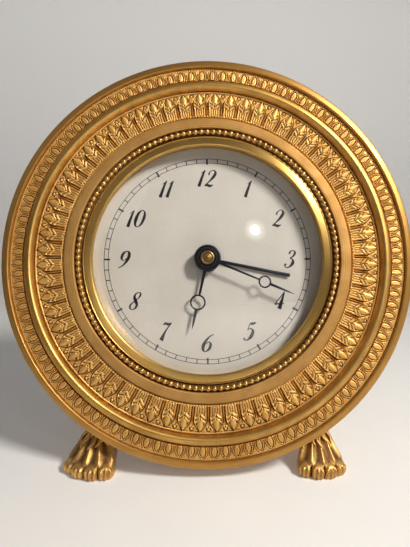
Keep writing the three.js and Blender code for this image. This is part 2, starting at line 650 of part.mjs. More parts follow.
// Movement frame: two plates with a hole for every pivot, on four turned pillars
function addPlates() {
  const pivots = [
    CENTRE, INTERMEDIATE_AT, THIRD_AT, FOURTH_AT, ESCAPE_AT, LEVER_AT, BALANCE_AT,
    ALARM_SETTING_AT, ALARM_ESCAPE_AT, HAMMER_AT,
  ];
  const small = (places) => places.map((at) => ngon(PIVOT_RADIUS + RUN, PIVOT_ROUND, at));
  const barrels = [TIME_BARREL_AT, ALARM_BARREL_AT];
  const large = barrels.map((at) => ngon(BARREL_ARBOR_RADIUS + RUN, PIVOT_ROUND, at));
  const feet = DIAL_FEET.map((at) => ngon(DIAL_FOOT_RADIUS + SEAT, PIVOT_ROUND, at));
  const clicks = [TIME_CLICK_AT, ALARM_CLICK_AT];
  const front = outline(ngon(FRONT_PLATE_RADIUS, ROUND), ...small([...pivots, MINUTE_AT]), ...large, ...feet);
  const back = outline(ngon(BACK_PLATE_RADIUS, ROUND), ...small([...pivots, ...clicks]), ...large);
  put(head, "front_plate", slab(front, FRONT_PLATE, PLATE_THICKNESS), BRASS);
  put(head, "back_plate", slab(back, BACK_PLATE, PLATE_THICKNESS), BRASS);

  const from = FRONT_PLATE_BACK + SEAT;
  const to = BACK_PLATE - SEAT;
  const middle = (from + to) / 2;
  const turned = [[0, from], [PILLAR_RADIUS, from], [PILLAR_WAIST, middle], [PILLAR_RADIUS, to], [0, to]];
  for (const [place, angle] of Object.entries(PILLAR_ANGLES)) {
    put(head, `pillar_${place}`, revolve(turned, PIVOT_ROUND), BRASS, polar(CENTRE, PILLAR_CIRCLE, angle));
  }
}

// Arbor between the plates, its ends in their pivot holes
const trainArbor = () => rod(PIVOT_RADIUS, FRONT_PLATE + SEAT, BACK_PLATE_BACK - SEAT);

function addGoingTrain() {
  const staked = (wheel, wheelFront, pinion, pinionFront, pinionLength = WHEEL_THICKNESS) => join(
    trainArbor(),
    wheelSlab(wheel, wheelFront, WHEEL_THICKNESS),
    wheelSlab(pinion, pinionFront - LAYER_GAP / 4, pinionLength + LAYER_GAP / 2),
  );
  put(head, "third_wheel", staked(thirdWheel, LAYER_C, thirdPinion, LAYER_B), BRASS, THIRD_AT);
  put(head, "fourth_wheel", staked(fourthWheel, LAYER_A, fourthPinion, LAYER_C), BRASS, FOURTH_AT);
  const intermediate = staked(intermediateWheel, LAYER_A, intermediatePinion, BARREL, BARREL_FLOOR);
  put(head, "intermediate_wheel", intermediate, BRASS, INTERMEDIATE_AT);

  const centreBore = PIVOT_RADIUS + RUN;
  const hub = wheelSlab(centrePinion, LAYER_A - LAYER_GAP / 4, LAYER + WHEEL_THICKNESS, centreBore);
  const web = wheelSlab(centreWheel, LAYER_B, WHEEL_THICKNESS, centreBore);
  put(head, "centre_wheel", join(hub, web), BRASS, CENTRE);

  const escape = slab(outline(sawTeeth(ESCAPE_TEETH, ESCAPE_RADIUS)), LAYER_D, WHEEL_THICKNESS);
  const leaves = wheelSlab(escapePinion, LAYER_A - LAYER_GAP / 4, LAYER);
  put(head, "escape_wheel", join(trainArbor(), escape, leaves), BRASS, ESCAPE_AT);
}

// Lever with two pallets clear of the escape wheel, and the balance on its hairspring
function addEscapement() {
  const reach = ESCAPE_RADIUS + PALLET_CLEARANCE;
  const spread = deg(PALLET_SPREAD);
  const pallet = [LEVER_DISTANCE - reach * Math.cos(spread), reach * Math.sin(spread)];
  const half = PALLET_SIZE / 2;
  const lever = outline([
    [PALLET_SIZE, 0],
    [pallet[0] + half, pallet[1] - half],
    [pallet[0], pallet[1] + half],
    [-PALLET_SIZE, PALLET_SIZE],
    [-LEVER_TAIL, half],
    [-LEVER_TAIL, -half],
    [-PALLET_SIZE, -PALLET_SIZE],
    [pallet[0], -pallet[1] - half],
    [pallet[0] + half, half - pallet[1]],
  ]);
  const anchor = join(trainArbor(), slab(lever, LAYER_D, WHEEL_THICKNESS));
  put(head, "pallet_lever", anchor, STEEL, LEVER_AT, -deg(LEVER_ANGLE - 180));

  const rimFront = LAYER_D + 2 * LAYER;
  const rim = revolve([
    [BALANCE_RADIUS, rimFront],
    [BALANCE_RADIUS, rimFront + BALANCE_THICKNESS],
    [BALANCE_RADIUS - BALANCE_RIM, rimFront + BALANCE_THICKNESS],
    [BALANCE_RADIUS - BALANCE_RIM, rimFront],
  ], 2 * SMALL_ROUND);
  const bar = new THREE.BoxGeometry(2 * BALANCE_RADIUS - BALANCE_RIM, BALANCE_THICKNESS / 2, BALANCE_BAR);
  bar.translate(0, rimFront + BALANCE_THICKNESS / 2, 0);
  put(head, "balance_wheel", join(trainArbor(), rim, bar), BRASS, BALANCE_AT);

  const springFront = rimFront + BALANCE_THICKNESS + LAYER_GAP;
  const strip = spiral(HAIRSPRING_INNER, HAIRSPRING_OUTER, HAIRSPRING_TURNS, HAIRSPRING_STRIP);
  const coil = slab(strip, springFront, HAIRSPRING_HEIGHT);
  const studAt = [HAIRSPRING_OUTER + PIVOT_RADIUS / 2, 0];
  const stud = rod(PIVOT_RADIUS, springFront, BACK_PLATE - SEAT, PIVOT_ROUND, studAt);
  put(head, "hairspring", join(coil, stud), STEEL, BALANCE_AT);

  const arm = outline([
    [0, PALLET_SIZE], [REGULATOR_ARM, REGULATOR_PIN], [REGULATOR_ARM, -REGULATOR_PIN], [0, -PALLET_SIZE],
  ]);
  const lugFront = BACK_PLATE_BACK + SEAT;
  const ring = slab(outline(ngon(REGULATOR_RING, SMALL_ROUND)), lugFront, WHEEL_THICKNESS);
  const pin = rod(REGULATOR_PIN, lugFront, COVER_BACK + KNOB_GAP, PIVOT_ROUND, [REGULATOR_ARM, 0]);
  const eye = rod(PIVOT_RADIUS + RUN, lugFront - SEAT, lugFront + 2 * WHEEL_THICKNESS);
  const regulator = cut(join(ring, slab(arm, lugFront, WHEEL_THICKNESS), pin), eye);
  put(head, "regulator_lever", regulator, STEEL, BALANCE_AT, -deg(REGULATOR_ANGLE));
}

// Spring barrel with its mainspring, cover, arbor, ratchet, click and key
function addBarrel(kind, wheel, at, clickAt) {
  const rim = revolve([
    [BARREL_RIM, BARREL],
    [BARREL_RIM, BARREL_BACK],
    [BARREL_RIM - BARREL_WALL, BARREL_BACK],
    [BARREL_RIM - BARREL_WALL, BARREL],
  ], 2 * SMALL_ROUND);
  const bore = BARREL_ARBOR_RADIUS + RUN;
  put(head, `${kind}_barrel`, join(wheelSlab(wheel, BARREL, BARREL_FLOOR, bore), rim), BRASS, at);

  const inside = BARREL_RIM - BARREL_WALL;
  const springFront = BARREL + BARREL_FLOOR + SEAT;
  const coverFront = BARREL_BACK - BARREL_COVER;
  const coil = spiral(BARREL_HUB_RADIUS + 2 * RUN, inside - 2 * RUN, MAINSPRING_TURNS, MAINSPRING_STRIP);
  put(head, `${kind}_mainspring`, slab(coil, springFront, coverFront - SEAT - springFront), STEEL, at);
  const lid = outline(ngon(inside - RUN, 2 * SMALL_ROUND), ngon(bore, SMALL_ROUND));
  put(head, `${kind}_barrel_cover`, slab(lid, coverFront, BARREL_COVER), BRASS, at);

  const hub = rod(BARREL_HUB_RADIUS, springFront, coverFront - SEAT, SMALL_ROUND);
  const shaft = rod(BARREL_ARBOR_RADIUS, FRONT_PLATE + SEAT, KNOB_FRONT + KEY_STEM_LENGTH - KEY_THICKNESS);
  put(head, `${kind}_barrel_arbor`, join(hub, shaft), STEEL, at);

  const square = ngon(BARREL_ARBOR_RADIUS + PRESS, PIVOT_ROUND);
  const ratchet = outline(sawTeeth(RATCHET_TEETH, RATCHET_RADIUS), square);
  put(head, `${kind}_ratchet`, slab(ratchet, RATCHET, WHEEL_THICKNESS), STEEL, at);
  const pawl = outline([
    [-CLICK_WIDTH / 2, -CLICK_WIDTH / 2],
    [CLICK_LENGTH, 0],
    [CLICK_LENGTH, CLICK_WIDTH / 2],
    [-CLICK_WIDTH / 2, CLICK_WIDTH / 2],
  ]);
  const pawlPin = rod(PIVOT_RADIUS, BACK_PLATE + SEAT, RATCHET + WHEEL_THICKNESS);
  put(head, `${kind}_click`, join(slab(pawl, RATCHET, WHEEL_THICKNESS), pawlPin), STEEL, clickAt);
  put(head, `${kind}_winding_key`, windingKey(), BRASS, at);
}

// Butterfly key: a stem with a blind socket, and two round wings
function windingKey() {
  const end = KNOB_FRONT + KEY_STEM_LENGTH;
  const socket = BARREL_ARBOR_RADIUS + PRESS;
  const floor = end - KEY_THICKNESS + SEAT;
  const stem = revolve([
    [0, end], [KEY_STEM, end], [KEY_STEM, KNOB_FRONT], [socket, KNOB_FRONT], [socket, floor], [0, floor],
  ], SMALL_ROUND);
  const wings = new THREE.Shape();
  const reach = KEY_SPAN - KEY_LOBE;
  const middle = KNOB_FRONT + KEY_WING_LIFT;
  wings.absarc(reach, middle, KEY_LOBE, -KEY_WING_ARC, KEY_WING_ARC, false);
  wings.absarc(-reach, middle, KEY_LOBE, Math.PI - KEY_WING_ARC, Math.PI + KEY_WING_ARC, false);
  const flat = { depth: KEY_THICKNESS, bevelEnabled: false, curveSegments: CURVE_STEPS };
  const blade = new THREE.ExtrudeGeometry(wings, flat);
  const bore = rod(socket, KNOB_FRONT - SEAT, floor);
  return cut(join(stem, blade.translate(0, 0, -KEY_THICKNESS / 2)), bore);
}

// Motion work behind the dial, and the alarm setting wheels
function addMotionWork() {
  const handFront = (hand) => DIAL_FRONT - hand.height;
  const pipe = (outer, inner, from, to) =>
    revolve([[outer, from], [outer, to], [inner, to], [inner, from]], SMALL_ROUND);
  const cannonBore = PIVOT_RADIUS + PRESS;
  put(head, "cannon_pinion", join(
    wheelSlab(cannonPinion, MINUTE_WHEEL - LAYER_GAP / 4, LAYER, cannonBore),
    pipe(CANNON_PIPE, cannonBore, handFront(MINUTE_HAND), MINUTE_WHEEL),
  ), STEEL);
  const hourBore = CANNON_PIPE + RUN;
  put(head, "hour_wheel", join(
    wheelSlab(hourWheel, HOUR_WHEEL, WHEEL_THICKNESS, hourBore),
    pipe(HOUR_PIPE, hourBore, handFront(HOUR_HAND), HOUR_WHEEL + WHEEL_THICKNESS),
  ), BRASS);
  const alarmBore = HOUR_PIPE + RUN;
  put(head, "alarm_setting_wheel", join(
    wheelSlab(alarmSettingWheel, ALARM_WHEEL, WHEEL_THICKNESS, alarmBore),
    pipe(ALARM_PIPE, alarmBore, handFront(ALARM_HAND), ALARM_WHEEL + WHEEL_THICKNESS),
  ), BRASS);
  put(head, "minute_wheel", join(
    rod(PIVOT_RADIUS, HOUR_WHEEL, FRONT_PLATE_BACK - SEAT),
    wheelSlab(minuteWheel, MINUTE_WHEEL, WHEEL_THICKNESS),
    wheelSlab(minutePinion, HOUR_WHEEL - LAYER_GAP / 4, LAYER),
  ), BRASS, MINUTE_AT);

  const arborEnd = KNOB_FRONT + KNOB_HEIGHT - KEY_THICKNESS;
  put(head, "alarm_setting_arbor", join(
    rod(PIVOT_RADIUS, ALARM_WHEEL, arborEnd),
    wheelSlab(alarmSettingPinion, ALARM_WHEEL - LAYER_GAP / 4, LAYER),
  ), STEEL, ALARM_SETTING_AT);
  const arborFront = handFront(MINUTE_HAND) - SEAT - CAP_BORE_DEPTH / 2;
  put(head, "centre_arbor", rod(PIVOT_RADIUS, arborFront, arborEnd), STEEL);
  put(head, "hand_setting_knob", settingKnob(SETTING_KNOB_RADIUS), BRASS);
  put(head, "alarm_setting_knob", settingKnob(ALARM_KNOB_RADIUS), BRASS, ALARM_SETTING_AT);
}

// Turned knob with a waist and a blind socket for its arbor
function settingKnob(radius) {
  const end = KNOB_FRONT + KNOB_HEIGHT;
  const socket = PIVOT_RADIUS + PRESS;
  const floor = end - KEY_THICKNESS + SEAT;
  const waist = radius - KNOB_WAIST;
  return revolve([
    [0, end], [waist, end], [radius, end - KNOB_WAIST], [radius, KNOB_FRONT + KNOB_HEIGHT / 2],
    [waist, KNOB_FRONT], [socket, KNOB_FRONT], [socket, floor], [0, floor],
  ], KNOB_ROUND);
}

// Alarm escape wheel, driven by the alarm barrel, and the hammer that it rocks
function addAlarm() {
  const crown = slab(outline(sawTeeth(ALARM_ESCAPE_TEETH, ALARM_ESCAPE_RADIUS)), LAYER_A, WHEEL_THICKNESS);
  const leaves = wheelSlab(alarmPinion, BARREL - LAYER_GAP / 4, BARREL_FLOOR + LAYER_GAP / 2);
  put(head, "alarm_escape_wheel", join(trainArbor(), crown, leaves), BRASS, ALARM_ESCAPE_AT);

  const pivot = apart(CENTRE, HAMMER_AT);
  const headAt = DRUM_BORE - HAMMER_HEAD_RADIUS - HAMMER_REST_GAP;
  const aside = pivot * Math.sin(HAMMER_BEND);
  const arm = Math.sqrt(headAt ** 2 - aside ** 2) - pivot * Math.cos(HAMMER_BEND);
  const outward = Math.atan2(HAMMER_AT[1], HAMMER_AT[0]);
  const armFront = (BARREL + BARREL_BACK) / 2;
  const armShape = outline([
    [0, PALLET_SIZE], [arm, PALLET_SIZE / 2], [arm, -PALLET_SIZE / 2], [0, -PALLET_SIZE],
  ]);
  const malletFront = armFront - HAMMER_HEAD_LENGTH / 2;
  const malletBack = malletFront + HAMMER_HEAD_LENGTH;
  const mallet = rod(HAMMER_HEAD_RADIUS, malletFront, malletBack, SMALL_ROUND, [arm, 0]);
  const verge = new THREE.BoxGeometry(2 * PALLET_SIZE, WHEEL_THICKNESS, 2 * VERGE_REACH);
  verge.translate(0, LAYER_A + WHEEL_THICKNESS / 2, 0);
  put(head, "alarm_hammer", join(
    trainArbor(), slab(armShape, armFront, WHEEL_THICKNESS), mallet, verge,
  ), STEEL, HAMMER_AT, -(outward + HAMMER_BEND));
}

// Hands point to twelve in their own frame and are turned to the time that they show
function addHands() {
  const bossOf = (hand, bore) => outline(ngon(hand.boss, HAND_ROUND), ngon(bore, SMALL_ROUND));
  const ringHand = (hand, bore) => {
    const front = DIAL_FRONT - hand.height;
    const ringInner = hand.ring - RING_WIRE;
    const shaft = outline([
      [-hand.shaft, hand.boss - RING_WIRE], [hand.shaft, hand.boss - RING_WIRE],
      [hand.shaft / 2, hand.ringAt - ringInner], [-hand.shaft / 2, hand.ringAt - ringInner],
    ]);
    const tip = outline([
      [-TIP_WIDTH, hand.ringAt + ringInner], [TIP_WIDTH, hand.ringAt + ringInner], [0, hand.length],
    ]);
    const at = [0, hand.ringAt];
    const ring = outline(ngon(hand.ring, HAND_ROUND, at), ngon(ringInner, SMALL_ROUND, at));
    return join(...[bossOf(hand, bore), shaft, ring, tip].map((shape) => slab(shape, front, HAND_THICKNESS)));
  };
  put(head, "minute_hand", ringHand(MINUTE_HAND, CANNON_PIPE + PRESS), BLUED, CENTRE, deg(MINUTE_HAND.angle));
  put(head, "hour_hand", ringHand(HOUR_HAND, HOUR_PIPE + PRESS), BLUED, CENTRE, deg(HOUR_HAND.angle));

  const alarmFront = DIAL_FRONT - ALARM_HAND.height;
  const baton = outline([
    [-ALARM_HAND.shaft, ALARM_HAND.boss - RING_WIRE], [ALARM_HAND.shaft, ALARM_HAND.boss - RING_WIRE],
    [ALARM_HAND.shaft, ALARM_HAND.length], [-ALARM_HAND.shaft, ALARM_HAND.length],
  ]);
  const boss = slab(bossOf(ALARM_HAND, ALARM_PIPE + PRESS), alarmFront, HAND_THICKNESS);
  const alarm = join(boss, slab(baton, alarmFront, HAND_THICKNESS));
  put(head, "alarm_hand", alarm, BLUED, CENTRE, deg(ALARM_HAND.angle));

  const capBack = DIAL_FRONT - MINUTE_HAND.height - SEAT;
  const capFront = capBack - CAP_HEIGHT;
  const socket = PIVOT_RADIUS + PRESS;
  const socketEnd = capBack - CAP_BORE_DEPTH;
  put(head, "hand_cap", revolve([
    [0, capFront], [CAP_RADIUS / 2, capFront + CAP_HEIGHT / 8], [CAP_RADIUS, capFront + CAP_HEIGHT / 2],
    [CAP_RADIUS, capBack], [socket, capBack], [socket, socketEnd], [0, socketEnd],
  ], SMALL_ROUND), BRASS);
}

// From the upright head to the clock's own frame
const headToClock = () => new THREE.Matrix4().makeRotationX(-LEAN).setPosition(0, 0, HEAD_HEIGHT);
const tableCut = () =>
  new THREE.BoxGeometry(4 * FRAME_RADIUS, 4 * FRAME_RADIUS, FRAME_RADIUS).translate(0, 0, -FRAME_RADIUS / 2);

// Easel strut on a two-eared bracket; its tail meets the bracket when it is open
function addStrut() {
  const baseFront = COVER_BACK + SEAT;
  const base = new THREE.BoxGeometry(BRACKET_WIDTH, BRACKET_BASE, BRACKET_HEIGHT);
  base.translate(0, baseFront + BRACKET_BASE / 2, -HINGE_DROP);
  const earX = KNUCKLE_LENGTH / 2 + RUN + EAR_THICKNESS / 2;
  const ears = [-earX, earX].flatMap((x) => [
    crossbar(EAR_RADIUS, EAR_THICKNESS, SMALL_ROUND, HINGE_Y, -HINGE_DROP, x),
    new THREE.BoxGeometry(EAR_THICKNESS, HINGE_STANDOFF + BRACKET_BASE / 2, 2 * EAR_RADIUS)
      .translate(x, HINGE_Y - (HINGE_STANDOFF + BRACKET_BASE / 2) / 2, -HINGE_DROP),
  ]);
  const earBore = crossbar(HINGE_PIN_RADIUS + PRESS, BRACKET_WIDTH, SMALL_ROUND, HINGE_Y, -HINGE_DROP);
  put(head, "strut_bracket", cut(join(base, ...ears), earBore), BRASS);

  const pinReach = earX + EAR_THICKNESS / 2 + SEAT;
  const pinHeads = [-1, 1].map((side) =>
    crossbar(HINGE_PIN_RADIUS + 2 * PRESS, HINGE_PIN_HEAD, PIVOT_ROUND, HINGE_Y, -HINGE_DROP,
      side * (pinReach + HINGE_PIN_HEAD / 2)));
  const shank = crossbar(HINGE_PIN_RADIUS, 2 * pinReach + HINGE_PIN_HEAD, PIVOT_ROUND, HINGE_Y, -HINGE_DROP);
  put(head, "strut_hinge_pin", join(shank, ...pinHeads), STEEL);

  const hinge = new THREE.Vector3(0, HINGE_Y, -HINGE_DROP).applyMatrix4(headToClock());
  const tilt = STRUT_OPEN - LEAN;
  const footAt = (hinge.z - STRUT_FOOT_RADIUS + STRUT_FOOT_FLAT) / Math.cos(tilt);
  const half = STRUT_THICKNESS / 2;
  const tail = (HINGE_STANDOFF - SEAT - half * Math.cos(STRUT_OPEN)) / Math.sin(STRUT_OPEN);
  const pull = STRUT_WAIST - (STRUT_TOP + STRUT_FOOT_LENGTH) / 4; // control point of the waist's curve
  const bladeShape = new THREE.Shape();
  bladeShape.moveTo(-STRUT_TOP / 2, tail);
  bladeShape.lineTo(STRUT_TOP / 2, tail);
  bladeShape.lineTo(STRUT_TOP / 2, -KNUCKLE_RADIUS);
  bladeShape.quadraticCurveTo(pull, -footAt / 2, STRUT_FOOT_LENGTH / 2, -footAt);
  bladeShape.lineTo(-STRUT_FOOT_LENGTH / 2, -footAt);
  bladeShape.quadraticCurveTo(-pull, -footAt / 2, -STRUT_TOP / 2, -KNUCKLE_RADIUS);
  const strut = cut(
    join(
      slab(bladeShape, -half, STRUT_THICKNESS),
      crossbar(KNUCKLE_RADIUS, KNUCKLE_LENGTH, SMALL_ROUND, 0, 0),
      crossbar(STRUT_FOOT_RADIUS, STRUT_FOOT_LENGTH, SMALL_ROUND, 0, -footAt),
    ),
    crossbar(HINGE_PIN_RADIUS + RUN, 2 * BRACKET_WIDTH, SMALL_ROUND, 0, 0),
  );
  strut.applyMatrix4(new THREE.Matrix4().makeRotationX(tilt).setPosition(hinge));
  put(clock, "easel_strut", cut(strut, tableCut()), GILT);
}

// Lion paw on the right: a sloping instep, four long toes with claws, and an ankle with a lug
// behind the frame
function paw() {
  const toes = PAW_TOES.flatMap((x) => {
    const front = -TOE_REACH - (Math.abs(x) < TOE_SIZE.x ? TOE_LEAD : 0);
    const toe = new THREE.SphereGeometry(1, BALL_AROUND, BALL_UP).scale(TOE_SIZE.x, TOE_SIZE.y, TOE_SIZE.z);
    const claw = new THREE.ConeGeometry(CLAW_RADIUS, CLAW_LENGTH, CLAW_SIDES).rotateX(CLAW_PITCH);
    const tip = front - TOE_SIZE.y * Math.cos(TOE_PITCH);
    return [
      toe.rotateX(TOE_PITCH).translate(x, front, TOE_HEIGHT),
      claw.translate(x, tip + CLAW_RADIUS, CLAW_LENGTH / 2),
    ];
  });
  const instep = new THREE.CylinderGeometry(ANKLE_RADIUS, SOLE_RADIUS, INSTEP_HEIGHT, SMALL_ROUND);
  instep.rotateX(Math.PI / 2).scale(1, SOLE_DEPTH / SOLE_RADIUS, 1).translate(0, 0, INSTEP_HEIGHT / 2);
  const slope = INSTEP_LEAD / INSTEP_HEIGHT;
  instep.applyMatrix4(new THREE.Matrix4().makeShear(0, 0, 0, 0, 0, slope)).translate(0, -INSTEP_LEAD, 0);
  const foot = join(instep, ...toes).rotateZ(PAW_SPLAY);

  const ankleHeight = ANKLE_TOP - ANKLE_BOTTOM;
  const ankle = new THREE.CylinderGeometry(ANKLE_TOP_RADIUS, ANKLE_RADIUS, ankleHeight, SMALL_ROUND);
  ankle.rotateX(Math.PI / 2).translate(0, ANKLE_DEPTH, (ANKLE_TOP + ANKLE_BOTTOM) / 2);
  const lug = new THREE.BoxGeometry(LUG_WIDTH, LUG_THICKNESS, LUG_HEIGHT);
  lug.translate(0, FRAME_BACK + SEAT + LUG_THICKNESS / 2, ANKLE_TOP);
  const leg = join(ankle, lug).applyMatrix4(headToClock());
  const ankleFoot = new THREE.Vector3(0, ANKLE_DEPTH, ANKLE_BOTTOM).applyMatrix4(headToClock());
  foot.translate(0, ankleFoot.y, 0);
  return cut(join(foot, leg), tableCut()).translate(PAW_SPREAD, 0, 0);
}

addBezel();
addGlassAndDial();
addDrum();
addPlates();
addGoingTrain();
addEscapement();
addBarrel("time", timeBarrel, TIME_BARREL_AT, TIME_CLICK_AT);
addBarrel("alarm", alarmBarrel, ALARM_BARREL_AT, ALARM_CLICK_AT);
addMotionWork();
addAlarm();
addHands();
addStrut();
put(clock, "right_paw_foot", paw(), GILT);
put(clock, "left_paw_foot", closed(paw().scale(-1, 1, 1)), GILT);

// The origin lies on the table, in the middle of the part's box
clock.updateMatrixWorld(true);
const box = new THREE.Box3().setFromObject(clock, true);
clock.position.y = -(box.min.y + box.max.y) / 2;

export default clock;
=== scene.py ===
"""Round gilt-bronze desk alarm clock on two lion paws: its looks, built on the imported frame."""
import json
from math import atan2, cos, pi, radians, sin, tan

import bmesh
import bpy
import numpy as np
from mathutils import Matrix, Quaternion, Vector


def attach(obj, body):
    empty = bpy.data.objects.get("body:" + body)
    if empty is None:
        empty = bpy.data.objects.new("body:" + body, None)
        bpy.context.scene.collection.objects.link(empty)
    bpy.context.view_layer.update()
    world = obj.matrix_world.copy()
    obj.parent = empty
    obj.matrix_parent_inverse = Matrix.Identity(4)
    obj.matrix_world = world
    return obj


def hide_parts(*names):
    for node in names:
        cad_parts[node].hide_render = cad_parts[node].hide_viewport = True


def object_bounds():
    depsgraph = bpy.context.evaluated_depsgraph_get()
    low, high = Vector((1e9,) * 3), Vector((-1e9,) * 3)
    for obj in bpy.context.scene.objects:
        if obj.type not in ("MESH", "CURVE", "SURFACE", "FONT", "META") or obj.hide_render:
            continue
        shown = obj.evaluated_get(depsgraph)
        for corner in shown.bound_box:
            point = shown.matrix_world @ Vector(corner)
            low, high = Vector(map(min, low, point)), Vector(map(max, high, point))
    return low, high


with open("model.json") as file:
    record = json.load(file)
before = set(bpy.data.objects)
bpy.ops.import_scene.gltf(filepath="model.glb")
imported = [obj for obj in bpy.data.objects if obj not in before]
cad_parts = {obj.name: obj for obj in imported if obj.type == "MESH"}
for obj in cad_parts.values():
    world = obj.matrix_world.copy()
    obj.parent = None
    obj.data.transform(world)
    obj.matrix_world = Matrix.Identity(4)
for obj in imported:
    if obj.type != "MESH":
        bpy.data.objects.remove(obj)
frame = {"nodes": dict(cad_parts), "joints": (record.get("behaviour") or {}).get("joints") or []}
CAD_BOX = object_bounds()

# Face coordinates in millimetres: u to the right, v up the face, w out of it towards the viewer.
# The flat ring of the bezel is w = 0.
MM = 0.001
JOINTS = {joint["name"]: joint for joint in frame["joints"]}
FACE_AT = np.array(JOINTS["minute_arbor_turn"]["pos_m"])
W_AXIS = -Vector(JOINTS["minute_arbor_turn"]["axis"])
U_AXIS = Vector((1, 0, 0))
V_AXIS = W_AXIS.cross(U_AXIS)
FACE_AXES = np.array([U_AXIS, V_AXIS, W_AXIS])
LEAN = atan2(V_AXIS.y, V_AXIS.z)

# Radii and depths, as in the solids
SIGHT = 36.15
SIGHT_OUTER = 38.85
FRAME_BORE = 39.15
FLAT_INNER = 41.25
FLAT_OUTER = 44.6
LANCET_OUTER = 53.6
RIDGE_OUTER = 56.85
LEAF_OUTER = 60.8
FRAME_RADIUS = 63.4
FRAME_BACK = -6.0
LEAF_FLOOR = -1.0
LANCET_FLOOR = -1.6
BEAD_SEAT = -1.5
BEVEL_FRONT = -0.9
BEVEL_BACK = -2.6
SIGHT_LIP = 0.4
GLASS_RADIUS = 37.65
GLASS_RISE = 6.3
GLASS_THICKNESS = 1.2
DIAL_FRONT = -7.2
DIAL_BACK = -8.2
DIAL_RADIUS = 40.35
DRUM_RADIUS = 44.85
DRUM_BORE = 43.35
DRUM_FRONT = -6.3
FLANGE_RADIUS = 48.35
FLANGE_BACK = -8.0
COVER_FRONT = -36.7
COVER_BACK = -37.9
KNOB_FRONT = -38.7
SEAT = 0.3

# Fineness of the meshes, and the angles from which an edge is sharp
ROUND = 256
MIDDLE_ROUND = 96
SMALL_ROUND = 48
SCREW_ROUND = 24
BALL_AROUND = 16
BALL_UP = 9
EDGE_STEPS = 2
MERGE = 1e-7
SHARP = radians(38)
GLASS_SHARP = radians(60)
CARVED_SHARP = radians(80)


class Shape:
    """Points in millimetres, faces, a UV for each face corner and a relief from 0, hollow, to 1; low relief
    gets patina and painted shade.
    """

    def __init__(self, points, faces, uv=None, relief=None):
        self.points = np.asarray(points, float)
        self.faces = [tuple(int(k) for k in face) for face in faces]
        corners = sum(len(face) for face in self.faces)
        self.uv = np.zeros((corners, 2)) if uv is None else np.asarray(uv, float)
        self.relief = np.ones(len(self.points)) if relief is None else np.asarray(relief, float)

    def mapped(self, change):
        return Shape(change(self.points), self.faces, self.uv, self.relief)

    def moved(self, offset):
        return self.mapped(lambda points: points + np.asarray(offset))

    def swapped(self, axes, signs=(1, 1, 1)):
        """The axes in another order, some of them reversed."""
        return self.mapped(lambda points: points[:, list(axes)] * signs)


def combine(*shapes):
    faces = []
    before = 0
    for shape in shapes:
        faces += [tuple(k + before for k in face) for face in shape.faces]
        before += len(shape.points)
    points = np.vstack([shape.points for shape in shapes])
    uv = np.vstack([shape.uv for shape in shapes])
    return Shape(points, faces, uv, np.concatenate([shape.relief for shape in shapes]))


def rows(*columns):
    """Points, or other rows, from their columns."""
    return np.stack(columns, -1)


def turns(count):
    """Angles of equal steps once round."""
    return 2 * pi * np.arange(count) / count


def grid(nu, nv, wrap_u, wrap_v):
    """Quads over nu by nv points, and the grid steps of their corners."""
    i, j = np.meshgrid(np.arange(nu - (not wrap_u)), np.arange(nv - (not wrap_v)), indexing="ij")
    u = rows(i, i + 1, i + 1, i).reshape(-1, 4)
    v = rows(j, j, j + 1, j + 1).reshape(-1, 4)
    return (u % nu) * nv + v % nv, u, v


def spun(radius, w, turn, centre=(0.0, 0.0)):
    """Points at radii and depths, turned about w."""
    return rows(centre[0] + radius * np.sin(turn), centre[1] + radius * np.cos(turn), w).reshape(-1, 3)


def lathe(profile, steps=ROUND, centre=(0.0, 0.0), relief=None, ripple=None):
    """Turned solid about w from (radius, w) points; closed on itself unless it starts on the axis."""
    profile = np.asarray(profile, float)
    wrap = profile[0, 0] > 0
    turn = turns(steps)[:, None]
    radius = np.tile(profile[:, 0], (steps, 1))
    if ripple is not None:
        radius = radius + ripple(turn)
    points = spun(radius, np.tile(profile[:, 1], (steps, 1)), turn, centre)
    quads, cu, cv = grid(steps, len(profile), True, wrap)
    closed = np.vstack([profile, profile[:1]])
    length = np.concatenate([[0], np.cumsum(np.hypot(*np.diff(closed, axis=0).T))])
    uv = rows(cu / steps, length[cv]).reshape(-1, 2)
    depth = None if relief is None else np.tile(relief, steps)
    return Shape(points, quads, uv, depth)


def arc(centre, radii, start, end, steps):
    """Points on an ellipse, its angles in degrees from the first axis towards the second."""
    turn = np.radians(np.linspace(start, end, steps))
    return rows(centre[0] + radii[0] * np.cos(turn), centre[1] + radii[1] * np.sin(turn))


def ball(radius):
    polar = np.linspace(0, pi, BALL_UP)
    turn = turns(BALL_AROUND)
    x = np.sin(polar)[None, :] * np.cos(turn)[:, None]
    y = np.sin(polar)[None, :] * np.sin(turn)[:, None]
    z = np.tile(np.cos(polar), (BALL_AROUND, 1))
    quads, _, _ = grid(BALL_AROUND, BALL_UP, True, False)
    return Shape(rows(x, y, z).reshape(-1, 3) * radius, quads)


def smooth_path(points, steps=8):
    """Catmull-Rom curve through rows of numbers."""
    points = np.asarray(points, float)
    padded = np.vstack([2 * points[0] - points[1], points, 2 * points[-1] - points[-2]])
    out = []
    for k in range(len(points) - 1):
        a, b, c, d = padded[k:k + 4]
        for t in np.arange(steps) / steps:
            out.append(0.5 * (2 * b + (c - a) * t + (2 * a - 5 * b + 4 * c - d) * t ** 2
                              + (3 * b - a - 3 * c + d) * t ** 3))
    return np.array([*out, points[-1]])


